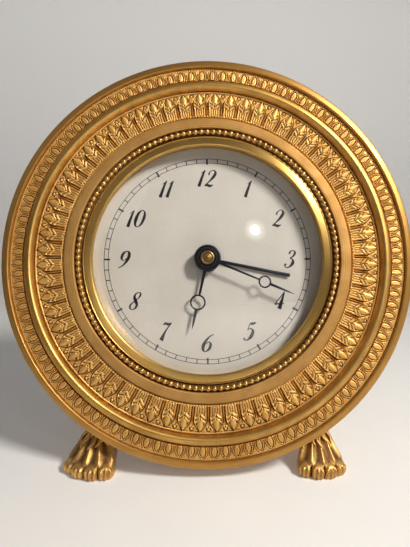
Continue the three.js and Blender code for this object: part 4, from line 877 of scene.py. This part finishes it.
def make_hands():
    minute = ring_hand(MINUTE_BOSS, MINUTE_BORE, shaft=0.42, ring_at=19.5, ring=2.0, tip=0.42, length=29.5)
    hand("minute_hand_steel", minute, MINUTE_LIFT, MINUTE_ANGLE, "minute_arbor", "minute_hand")
    hour = ring_hand(4.0, 2.55, shaft=0.55, ring_at=14.3, ring=2.5, tip=0.5, length=23.0)
    hand("hour_hand_steel", hour, HOUR_LIFT, HOUR_ANGLE, "hour_wheel", "hour_hand")
    baton = [(-0.5, 3.8), (0.5, 3.8), (0.55, 27.0), (-0.55, 27.0)]
    alarm = [[circle(4.15), circle(3.5)], [baton]]
    hand("alarm_hand_steel", alarm, ALARM_LIFT, ALARM_ANGLE, "alarm_hand", "alarm_hand")

    front = DIAL_FRONT + MINUTE_LIFT
    collet = np.vstack([
        [(MINUTE_BOSS, -HAND_THICKNESS)],
        arc((MINUTE_BOSS - 0.35, -0.15), (0.35, 0.3), 0, 80, 5),
        [(3.7, 0.15), (3.6, 0.02), (3.4, 0.02), (3.3, 0.2), (2.7, 0.24), (2.6, 0.1), (2.4, 0.1), (2.3, 0.2)],
        [(MINUTE_BORE, 0.2), (MINUTE_BORE, -HAND_THICKNESS)],
    ])
    # The collet's turned grooves take patina and painted shade
    relief = np.where(np.abs(collet[:, 1] - 0.06) < 0.05, 0.1, 1.0)
    shape = lathe(collet, MIDDLE_ROUND, relief=relief).moved((0, 0, front))
    piece("minute_collet", shape, BLUED, "minute_arbor")

    cap = np.vstack([
        [(0.0, 1.7)],
        arc((0.3, 1.4), (0.2, 0.28), 90, 0, 5),
        [(0.5, 1.08), (1.3, 0.98), (1.38, 0.8), (1.5, 0.8), (1.58, 0.95)],
        arc((1.75, 0.6), (0.4, 0.38), 100, 0, 6),
        [(2.15, 0.0), (0.8, 0.0), (0.8, 0.7), (0.0, 0.7)],
    ])
    # The cap's turned groove takes patina and painted shade
    relief = np.where((cap[:, 0] > 1.35) & (cap[:, 0] < 1.55), 0.2, 1.0)
    shape = lathe(cap, SMALL_ROUND, relief=relief).moved((0, 0, front + SEAT))
    piece("hand_cap_turned", shape, CAP, "minute_arbor", ["hand_cap"])


# Drum and back
DRUM_LINES = (-14.0, -15.2, -29.0, -30.2)
LINE_DEPTH = 0.25
LEDGE_FRONT = -15.2
LEDGE_BACK = -17.2
LEDGE_BORE = 41.0
SCREW_SLOT = 9.207
FLANGE_SCREWS = np.radians([20, 100, 180, 260, 340])
FLANGE_SCREW_CIRCLE = 46.7
COVER_SCREWS = np.radians([15, 135, 255])
COVER_SCREW_CIRCLE = 39.6
REGULATOR_ANGLE = 225
PIN_CIRCLE = 7.5
PIN_SLOT = [(-2.8, -1.0), (2.8, -1.0), (3.4, 0.0), (2.8, 1.0), (-2.8, 1.0), (-3.4, 0.0)]
SCALE_RADII = (9.4, 10.6)
KEY_STEM = [(0, -4.5), (2.5, -4.5), (3.0, -4.1), (2.6, -3.0), (2.6, -1.1), (3.0, -0.7), (3.0, 0), (1.8, 0),
            (1.8, -3.4), (0, -3.4)]
KEY_MIDDLE = 5.2
KEY_HALF = 0.7
KEY_REACH = 5.4
KEY_LOBE = 3.55
KEY_EDGE = 0.3
KNURLS = 40
KNURL_DEPTH = 0.14
KNURL_ROUND = 320


def screw(centre, radius, top):
    """Slotted round head standing behind the surface at w = top."""
    under = top - 0.2
    over = top - 0.55
    shapes = [lathe([(0, top), (radius, top), (radius, under), (0, under)], SCREW_ROUND, centre)]
    for side in (-1, 1):
        half = arc(centre, (radius, side * radius), SCREW_SLOT, 180 - SCREW_SLOT, 14)
        shapes.append(prism([half], over - 0.01, under + 0.01, 0.08))
    return combine(*shapes)


def ring_of_screws(angles, circle_radius, radius, top):
    return [screw((circle_radius * sin(a), circle_radius * cos(a)), radius, top) for a in angles]


def make_back():
    wall = [(DRUM_RADIUS, FLANGE_BACK - 0.3)]
    for w in DRUM_LINES:
        wall += [(DRUM_RADIUS, w + 0.35), (DRUM_RADIUS - LINE_DEPTH, w + 0.15),
                 (DRUM_RADIUS - LINE_DEPTH, w - 0.15), (DRUM_RADIUS, w - 0.35)]
    end = COVER_FRONT + SEAT
    drum = np.vstack([
        [(DRUM_BORE, DRUM_FRONT), (FLANGE_RADIUS - 0.2, DRUM_FRONT), (FLANGE_RADIUS, DRUM_FRONT - 0.2)],
        [(FLANGE_RADIUS, FLANGE_BACK + 0.4), (FLANGE_RADIUS - 0.4, FLANGE_BACK)],
        [(DRUM_RADIUS + 0.3, FLANGE_BACK)],
        wall,
        [(DRUM_RADIUS, end + 0.4), (DRUM_RADIUS - 0.3, end), (DRUM_BORE, end)],
        [(DRUM_BORE, LEDGE_BACK), (LEDGE_BORE, LEDGE_FRONT), (DRUM_BORE, LEDGE_FRONT)],
    ])
    piece("drum_case", lathe(drum), GILT, nodes=["drum"])
    heads = ring_of_screws(FLANGE_SCREWS, FLANGE_SCREW_CIRCLE, 1.1, FLANGE_BACK)
    heads += ring_of_screws(COVER_SCREWS, COVER_SCREW_CIRCLE, 1.5, COVER_BACK)

    centre = (0.0, 0.0)
    alarm = arbor_place("alarm_setting_turn")
    barrels = [arbor_place("time_winding_turn"), arbor_place("alarm_winding_turn")]
    regulator = np.array(arbor_place("regulator_shift"))
    middle = radians(REGULATOR_ANGLE)
    pin = regulator + PIN_CIRCLE * np.array([cos(middle), sin(middle)])
    slot = turned(PIN_SLOT, radians(45)) + pin
    holes = [circle(1.0, centre), circle(1.0, alarm), *[circle(2.0, at) for at in barrels], slot]
    disc = prism([circle(DRUM_RADIUS - 0.05, steps=ROUND), *holes], COVER_BACK, COVER_FRONT, 0.25)
    rings = []
    for at, radius in ((centre, 5.6), (alarm, 5.2), (barrels[0], 10.0), (barrels[1], 10.0), (centre, 42.6)):
        back = COVER_BACK + 0.2
        band = np.vstack([arc((radius, COVER_BACK + 0.02), (0.35, 0.22), -170, -10, 7),
                          [(radius + 0.34, back), (radius - 0.34, back)]])
        rings.append(lathe(band, ROUND if radius > 20 else MIDDLE_ROUND, at))
    scale = []
    for k in range(-3, 4):
        angle = radians(REGULATOR_ANGLE + 6 * k)
        reach = [regulator + r * np.array([cos(angle), sin(angle)]) for r in SCALE_RADII]
        scale.append(ribbon(reach, [0.3, 0.3], COVER_BACK - 0.05, COVER_BACK + 0.1))
    piece("back_disc", combine(disc, *rings), GILT, nodes=["back_cover"])
    piece("case_screws", combine(*heads), STEEL)
    piece("regulator_marks", combine(*scale), BLUED)

    for kind, at in zip(("time", "alarm"), barrels):
        make_key(kind, at)
    make_knob("hand_setting_knob", "minute_arbor", 4.6, centre)
    make_knob("alarm_setting_knob", "alarm_setting", 4.2, alarm)


def make_key(kind, at):
    """Butterfly winding key: a turned stem, and two round wings with an eye in each."""
    stem = lathe(KEY_STEM, SMALL_ROUND).moved((0, 0, KNOB_FRONT))
    middle = KEY_MIDDLE - KNOB_FRONT
    flats = []
    for side in (-1, 1):
        eye = circle(1.3, (side * (KEY_REACH + 0.4), middle), 24)
        flats.append([circle(KEY_LOBE, (side * KEY_REACH, middle), 40), eye])
    flats.append([[(-3.4, middle - 1.9), (3.4, middle - 1.9), (3.4, middle + 1.9), (-3.4, middle + 1.9)]])
    wings = [prism(loops, -KEY_HALF, KEY_HALF, KEY_EDGE).swapped((0, 2, 1), (1, 1, -1)) for loops in flats]
    whole = combine(stem, *wings).moved((*at, 0))
    piece(f"{kind}_key_turned", whole, BRASS, f"{kind}_winding", [f"{kind}_winding_key"])


def make_knob(name, body, radius, at):
    """Knurled setting knob."""
    profile = np.vstack([
        [(0, -4.75), (radius * 0.45, -4.75), (radius * 0.55, -5.0), (radius - 0.7, -5.0)],
        arc((radius - 0.6, -4.4), (0.6, 0.6), -90, 0, 5),
        np.linspace([radius, -4.2], [radius, -1.9], 6),
        [(radius - 0.5, -1.6), (radius - 1.4, -1.3), (radius - 1.4, 0), (0.85, 0), (0.85, -3.9), (0, -3.9)],
    ])
    on_rim = (np.abs(profile[None, :, 0] - radius) < 0.01) * 1.0

    def knurl(turn):
        return -KNURL_DEPTH * on_rim * (0.5 + 0.5 * np.cos(KNURLS * turn))

    shape = lathe(profile, KNURL_ROUND, at, ripple=knurl).moved((0, 0, KNOB_FRONT))
    piece(f"{name}_knurled", shape, BRASS, body, [name])


# Stand
HINGE_W = -43.9
HINGE_V = -14.0
EAR_AT = 4.9
EAR_RADIUS = 3.0
EAR_HALF = 0.8
PIN_BORE = 1.4
BASE_THICKNESS = 1.5
STRUT_TILT = radians(26)
STRUT_FOLD = radians(38)
STRUT_HALF = 1.1
STRUT_GAP = 4.2
STRUT_TOP = 3.5
STRUT_WAIST = 3.0
STRUT_END = 6.0
WINDOW = (1.6, 7.0)
FOOT_ROLL = 2.2
SOLE_CUT = 0.8
ROLL = [(0, -6.0), (1.9, -6.0), (2.2, -5.7), (2.2, 5.7), (1.9, 6.0), (0, 6.0)]
KNUCKLE = [(1.6, -3.7), (2.2, -3.7), (2.4, -3.5), (2.4, 3.5), (2.2, 3.7), (1.6, 3.7)]
HINGE_PIN = [(0, -6.9), (1.4, -6.9), (1.6, -6.6), (1.6, -6.2), (1.2, -6.0), (1.2, 6.0), (1.6, 6.2),
             (1.6, 6.6), (1.4, 6.9), (0, 6.9)]


def make_bracket():
    seat = COVER_BACK - SEAT
    back = seat - BASE_THICKNESS
    root = -(seat - 1.0)
    shapes = [prism([rounded_box(9.0, 6.0, 1.2, (0, HINGE_V))], back, seat, 0.25)]
    heads = []
    for side in (-1, 1):
        bow = arc((HINGE_V, -HINGE_W), (EAR_RADIUS, EAR_RADIUS), 0, 180, 20)
        ear = [(HINGE_V + EAR_RADIUS, root), *bow, (HINGE_V - EAR_RADIUS, root)]
        bore = arc((HINGE_V, -HINGE_W), (PIN_BORE, PIN_BORE), 0, 360, 20)[:-1]
        plate = prism([ear, bore], -EAR_HALF, EAR_HALF, 0.2)
        shapes.append(plate.swapped((2, 0, 1), (1, 1, -1)).moved((side * EAR_AT, 0, 0)))
        for v in (-4.2, 4.2):
            heads.append(screw((side * 7.4, HINGE_V + v), 0.9, back))
    piece("hinge_bracket", combine(*shapes), BRASS, nodes=["strut_bracket"])
    piece("bracket_screws", combine(*heads), STEEL)
    pin = lathe(HINGE_PIN, SMALL_ROUND).swapped((2, 1, 0)).moved((0, HINGE_V, HINGE_W))
    piece("hinge_pin_turned", pin, STEEL, nodes=["strut_hinge_pin"])


def make_strut():
    """Easel strut: a waisted blade with a window, a knuckle above and a rolled foot."""
    hinge = np.array(JOINTS["strut_fold"]["pos_m"]) / MM
    foot = (hinge[2] - FOOT_ROLL + SOLE_CUT) / cos(STRUT_TILT)
    tail = (STRUT_GAP - SEAT - STRUT_HALF * cos(STRUT_FOLD)) / sin(STRUT_FOLD)
    down = np.linspace(0, 1, 25)
    pull = 2 * STRUT_WAIST - (STRUT_TOP + STRUT_END) / 2
    half = (1 - down) ** 2 * STRUT_TOP + 2 * down * (1 - down) * pull + down ** 2 * STRUT_END
    line = -2.4 + (-foot + 2.4) * down
    right = rows(half, line)
    left = rows(-half, line)[::-1]
    outline = np.vstack([[(-STRUT_TOP, tail), (STRUT_TOP, tail)], right, left])
    window = arc((0, -foot * 0.5), WINDOW, 0, 360, 41)[:-1]
    blade = prism([outline, window], -STRUT_HALF, STRUT_HALF, 0.3).swapped((0, 2, 1))
    roll = lathe(ROLL, SMALL_ROUND).swapped((2, 1, 0)).moved((0, 0, -foot))
    knuckle = lathe(KNUCKLE, SMALL_ROUND).swapped((2, 1, 0))
    c, s = cos(STRUT_TILT), sin(STRUT_TILT)

    def stand(points):
        x, y, z = points.T
        world = rows(x, y * c - z * s, y * s + z * c) + hinge
        world[:, 2] = np.maximum(world[:, 2], 0)
        world[:, 1] = np.minimum(world[:, 1], CAD_BOX[1][1] / MM)
        return world * MM

    strut = combine(blade, roll, knuckle)
    piece("strut_blade", strut, GILT, "easel_strut", ["easel_strut"], place=stand)


# Paws: heights in millimetres above the table, forwards being -y from the ankle's axis
DEGREE = radians(1)
PAW_SPREAD = 33.72
PAW_SPLAY = {"right": radians(4), "left": radians(17)}
PAW_BREADTH = {"right": 0.92, "left": 1.03}
# Blur rounds and gain for the patina and painted shade in the paw's hollows
PAW_PATINA_SHADE = (8, 2.6)
PAW_LEVELS = 100
ANKLE_Y = -24.4
ANKLE_TOP = -44.27
LUG_FRONT = -6.3
LUG_DEPTH = 3.4
PAW_HEIGHT = 21.0
TOES = np.radians([-31.5, -10.5, 10.5, 31.5])
CLEFTS = np.radians([-21.0, 0.0, 21.0])
CLAWS = [(-5.8, 2.9, 0.45), (0.0, 3.3, 0.65), (5.8, 2.9, 0.45)]
FAN_EDGE = radians(45)
FAN_ROUND = 0.05
FAN_FALL = 0.27
FUR_ROWS = 5
FUR_STRANDS = 17
STRAND_LENGTH = 3.6
STRAND_SIDES = 8

# Height, reach to the toes and reach behind
PAW_STATIONS = [(0.0, 11.3, 3.6), (1.0, 11.9, 3.9), (2.4, 12.0, 4.1), (4.0, 11.1, 4.1), (6.0, 9.2, 4.0),
                (8.5, 7.0, 3.9), (11.0, 5.1, 3.8), (13.5, 4.0, 3.6), (17.0, 3.5, 3.5), (19.6, 3.4, 3.4),
                (20.6, 2.9, 2.9), (21.0, 2.0, 2.0)]
PAW_PATH = smooth_path(PAW_STATIONS, 10)


def paw_point(turn, z, lift):
    """Point on the paw's skin, turn being 0 at the front, raised by lift."""
    fore, aft = [np.interp(z, PAW_PATH[:, 0], PAW_PATH[:, k]) for k in (1, 2)]
    turn = (turn + pi) % (2 * pi) - pi
    past = FAN_ROUND * np.logaddexp(0, (np.abs(turn) - FAN_EDGE) / FAN_ROUND)
    radius = aft + (fore - aft) * np.exp(-past / FAN_FALL) + lift
    y = np.maximum(z - 12, 0) * tan(LEAN) - radius * np.cos(turn)
    return rows(radius * np.sin(turn), y, z + 0 * turn)


def paw_relief(turn, z):
    """Tendons above, hooded toes with claws below, and strands of fur round the ankle."""
    turn = (turn + pi) % (2 * pi) - pi
    upper = plateau(z, 3.4, 5.2, 8.8, 11.2)
    lower = 1 - step(z, 3.0, 4.4)
    lift = 0.3 * np.abs(np.sin(11 * turn + 1.2 * np.sin(0.6 * z))) ** 0.7 * step(z, 9.5, 12)
    for tendon in (-FAN_EDGE, *CLEFTS, FAN_EDGE):
        lift += upper * 0.7 * bump(turn - tendon, 4.6 * DEGREE)
    for cleft in CLEFTS:
        lift -= lower * 0.5 * bump(turn - cleft, 1.8 * DEGREE)
    for toe in TOES:
        away = turn - toe
        lift += lower * 0.5 * dome(away, 10.4 * DEGREE) - upper * 0.5 * bump(away, 7 * DEGREE)
        hood = z - 3.9 + 0.9 * (away / (7 * DEGREE)) ** 2
        lift += 0.4 * bump(hood, 0.4) * (np.abs(away) < 9 * DEGREE)
        for side, high, size in CLAWS:
            claw = bump(away - side * DEGREE, 1.6 * DEGREE) * (1 - step(z, high - 0.4, high + 0.4))
            lift += size * claw * step(z, -0.4, 0.7)
    return lift


def tube(path, radii, around):
    """Closed tapering strand along points in space."""
    along = np.gradient(path, axis=0)
    along /= np.linalg.norm(along, axis=1)[:, None]
    side = np.cross(along, (0.3, 0.2, 1.0))
    side /= np.linalg.norm(side, axis=1)[:, None]
    over = np.cross(along, side)
    turn = turns(around)[None, :, None]
    ring = side[:, None] * np.cos(turn) + over[:, None] * np.sin(turn)
    points = path[:, None] + ring * radii[:, None, None]
    quads, _, _ = grid(len(path), around, False, True)
    last = around * (len(path) - 1)
    ends = [tuple(range(around))[::-1], tuple(range(last, last + around))]
    return Shape(points.reshape(-1, 3), [*quads, *ends])


def fur():
    """Rows of wavy strands round the ankle."""
    t = np.linspace(0, 1, 10)
    lift = 0.05 + 0.25 * np.sin(pi * t) + 0.35 * t
    radii = 0.08 + 0.46 * np.sin(pi * np.clip(0.1 + 0.84 * t, 0, 1)) ** 0.8
    strands = []
    for row in range(FUR_ROWS):
        for k in range(FUR_STRANDS):
            angle = radians(-136 + 17 * k + 8.5 * (row % 2) + 4 * sin(3.1 * k + row))
            high = 20.4 - 2.3 * row + 0.6 * sin(2.3 * k + row)
            swing = angle + 7 * DEGREE * np.sin(4.4 * t + k + 2 * row)
            strands.append(tube(paw_point(swing, high - STRAND_LENGTH * t, lift), radii, STRAND_SIDES))
    return strands


def make_paws():
    turn = np.radians(np.concatenate([np.arange(-60, 60, 0.5), np.arange(60, 300, 2.0)]))
    around, height = np.meshgrid(turn, np.linspace(0, PAW_HEIGHT, PAW_LEVELS), indexing="ij")
    lift = paw_relief(around, height)
    skin = paw_point(around, height, lift).reshape(-1, 3)
    quads, _, _ = grid(len(turn), PAW_LEVELS, True, False)
    sole = tuple(k * PAW_LEVELS for k in range(len(turn)))
    crown = tuple(k + PAW_LEVELS - 1 for k in sole)[::-1]
    # Clefts and grooves in the skin take patina and painted shade
    cleft_patina_shade = np.clip(1 + 0.9 * lift, 0.4, 1).ravel()
    foot = combine(Shape(skin, [*quads, sole, crown], relief=cleft_patina_shade), *fur())
    lug = prism([rounded_box(4.2, 5.0, 0.8, (0, ANKLE_TOP))], LUG_FRONT - LUG_DEPTH, LUG_FRONT, 0.4)
    lug = lug.mapped(lambda points: on_face(points) / MM)
    for name, side in (("right", 1), ("left", -1)):
        c, s = cos(PAW_SPLAY[name]), sin(PAW_SPLAY[name])
        x, y, z = foot.points.T
        x = x * PAW_BREADTH[name]
        set_down = rows(x * c - y * s, x * s + y * c + ANKLE_Y, np.maximum(z, 0))
        whole = combine(Shape(set_down, foot.faces, foot.uv, foot.relief), lug)
        whole = whole.moved((PAW_SPREAD, 0, 0)).swapped((0, 1, 2), (side, 1, 1))
        piece(f"{name}_lion_paw", whole, CAST, nodes=[f"{name}_paw_foot"], place=in_world,
              sharp=CARVED_SHARP, patina_shade_blur=PAW_PATINA_SHADE)


# Movement inside the case: every solid that still shows its own mesh gets a finish
STEEL_WORDS = ("pallet", "hairspring", "regulator", "mainspring", "arbor", "ratchet", "click", "cannon",
               "hammer")


def finish_movement():
    for name, solid in frame["nodes"].items():
        look = MOVEMENT_STEEL if any(word in name for word in STEEL_WORDS) else MOVEMENT_BRASS
        solid.data.materials.clear()
        solid.data.materials.append(look)


# Camera: its place on the face's axes, and its turn from them as a vector in degrees
EYE = (-1.571, -16.492, 125.836)
TURN = (-5.105, 0.327, 0.2)
FOCAL_PIXELS = 411.0
IMAGE_HEIGHT = 547
SENSOR = 36.0
CLIP_START = 0.005

# Lights and backdrop
KEY_DIRECTION = (0.58, 0.50, 0.64)
LAMP_DIRECTION = (0.38, 0.33, 0.87)
FILL_DIRECTION = (-0.7, 0.6, 0.5)
WARM_LIGHT = (1.0, 0.97, 0.92)
COOL_LIGHT = (0.96, 0.97, 1.0)
WORLD_LIGHT = (0.075, 0.075, 0.08, 1.0)
SHADE_STEPS = 64
SHADE_FALL = 1.5
PAPER_TONES = (linear(232, 230, 226), linear(238, 236, 233))
PAPER_GLOW = (0.13, 0.33)
GLOW_HEIGHT = 0.4
FLOOR_FRONT = -1.2
WALL_AT = 0.55
WALL_TOP = 1.4
WALL_CURVE = 0.25
PAPER_HALF = 1.6


def make_camera():
    data = bpy.data.cameras.new("camera")
    data.sensor_fit = "VERTICAL"
    data.sensor_height = SENSOR
    data.sensor_width = SENSOR
    data.lens = SENSOR * FOCAL_PIXELS / IMAGE_HEIGHT
    data.clip_start = CLIP_START
    camera = linked("camera", data)
    vector = Vector(TURN) * pi / 180
    look = Quaternion(vector.normalized(), vector.length).to_matrix()
    axes = Matrix(FACE_AXES.tolist()).transposed()
    pose = (axes @ look.transposed()).to_4x4()
    pose.translation = Vector(on_face(EYE))
    camera.matrix_world = pose
    bpy.context.scene.camera = camera


def aimed(direction, distance):
    """Place at a distance in a direction from the dial, and the turn of its z axis away from the dial."""
    place = Vector(on_face(np.array(direction) / np.linalg.norm(direction) * distance))
    return place, (place - Vector(on_face((0, 0, 0)))).to_track_quat("Z", "Y")


def make_lamp(name, direction, distance, size, energy, colour):
    data = bpy.data.lights.new(name, "AREA")
    data.shape = "DISK"
    data.size = size
    data.energy = energy
    data.color = colour
    lamp = linked(name, data)
    lamp.location, turn = aimed(direction, distance)
    lamp.rotation_euler = turn.to_euler()
    return lamp


def make_shade(name, direction, distance, radius, strength, colour):
    """Round lamp face whose glow falls off from its middle to its edge."""
    mesh = bpy.data.meshes.new(name)
    rim = [(u, v, 0) for u, v in circle(radius, steps=SHADE_STEPS)]
    mesh.from_pydata(rim, [], [tuple(range(SHADE_STEPS))])
    material, tree, _, where = new_look(name)
    span = node(tree, "VectorMath", {0: where}, operation="LENGTH")["Value"]
    glow = maths("POWER", spread(span, 0.0, radius, 1.0, 0.0), SHADE_FALL)
    front = maths("LESS_THAN", node(tree, "NewGeometry")["Backfacing"], 0.5)
    level = maths("MULTIPLY", maths("MULTIPLY", glow, front), strength)
    show(node(tree, "Emission", {"Color": (*colour, 1.0), "Strength": level})[0])
    mesh.materials.append(material)
    made = linked(name, mesh)
    place, turn = aimed(direction, distance)
    pose = turn.to_matrix().to_4x4()
    pose.translation = place
    made.matrix_world = pose
    made.visible_camera = False


def make_lights():
    key = make_lamp("key", KEY_DIRECTION, distance=480, size=0.11, energy=2.6, colour=WARM_LIGHT)
    shielded = bpy.data.collections.new("shielded_from_key")
    shielded.objects.link(bpy.data.objects["domed_glass"])
    shielded.collection_objects[0].light_linking.link_state = "EXCLUDE"
    key.light_linking.receiver_collection = shielded
    make_lamp("lamp", LAMP_DIRECTION, distance=700, size=0.05, energy=0.12, colour=WARM_LIGHT)
    make_shade("lamp_shade", LAMP_DIRECTION, distance=710, radius=0.075, strength=8.0, colour=WARM_LIGHT)
    make_lamp("fill", FILL_DIRECTION, distance=900, size=0.6, energy=0.28, colour=COOL_LIGHT)
    world = bpy.data.worlds.new("studio")
    world.use_nodes = True
    world.node_tree.nodes["Background"].inputs["Color"].default_value = WORLD_LIGHT
    bpy.context.scene.world = world


def paper_material():
    """Pale paper that glows a little where it is seen, more so higher up."""
    material, tree, shader, where = new_look("pale_paper")
    tone = blend(noise(where, 40.0), *PAPER_TONES)
    connect(shader, base_color=tone, roughness=0.9)
    path = node(tree, "LightPath")
    seen = maths("MAXIMUM", path["Is Camera Ray"], path["Is Glossy Ray"])
    seen = maths("MAXIMUM", seen, path["Is Transmission Ray"])
    level = node(tree, "SeparateXYZ", {0: where})[2]
    strength = maths("MULTIPLY", seen, spread(level, 0.0, GLOW_HEIGHT, *PAPER_GLOW))
    glow = node(tree, "Emission", {"Color": tone, "Strength": strength})
    show(node(tree, "AddShader", {0: shader.outputs[0], 1: glow[0]})[0])
    return material


def make_backdrop():
    turn_at = WALL_AT - WALL_CURVE
    bend = arc((turn_at, WALL_CURVE), (WALL_CURVE, WALL_CURVE), -90, 0, 19)
    run = [(FLOOR_FRONT, 0.0), *bend, (WALL_AT, WALL_TOP)]
    points = [(x, y, z) for y, z in run for x in (-PAPER_HALF, PAPER_HALF)]
    faces = [(2 * k, 2 * k + 1, 2 * k + 3, 2 * k + 2) for k in range(len(run) - 1)]
    mesh = bpy.data.meshes.new("backdrop")
    mesh.from_pydata(points, [], faces)
    mesh.shade_smooth()
    mesh.materials.append(paper_material())
    linked("backdrop", mesh)


make_camera()
finish_movement()
make_bezel()
make_carvings()
make_dial()
make_hands()
make_back()
make_bracket()
make_strut()
make_paws()
make_lights()
make_backdrop()
bpy.context.scene.view_settings.view_transform = "Standard"
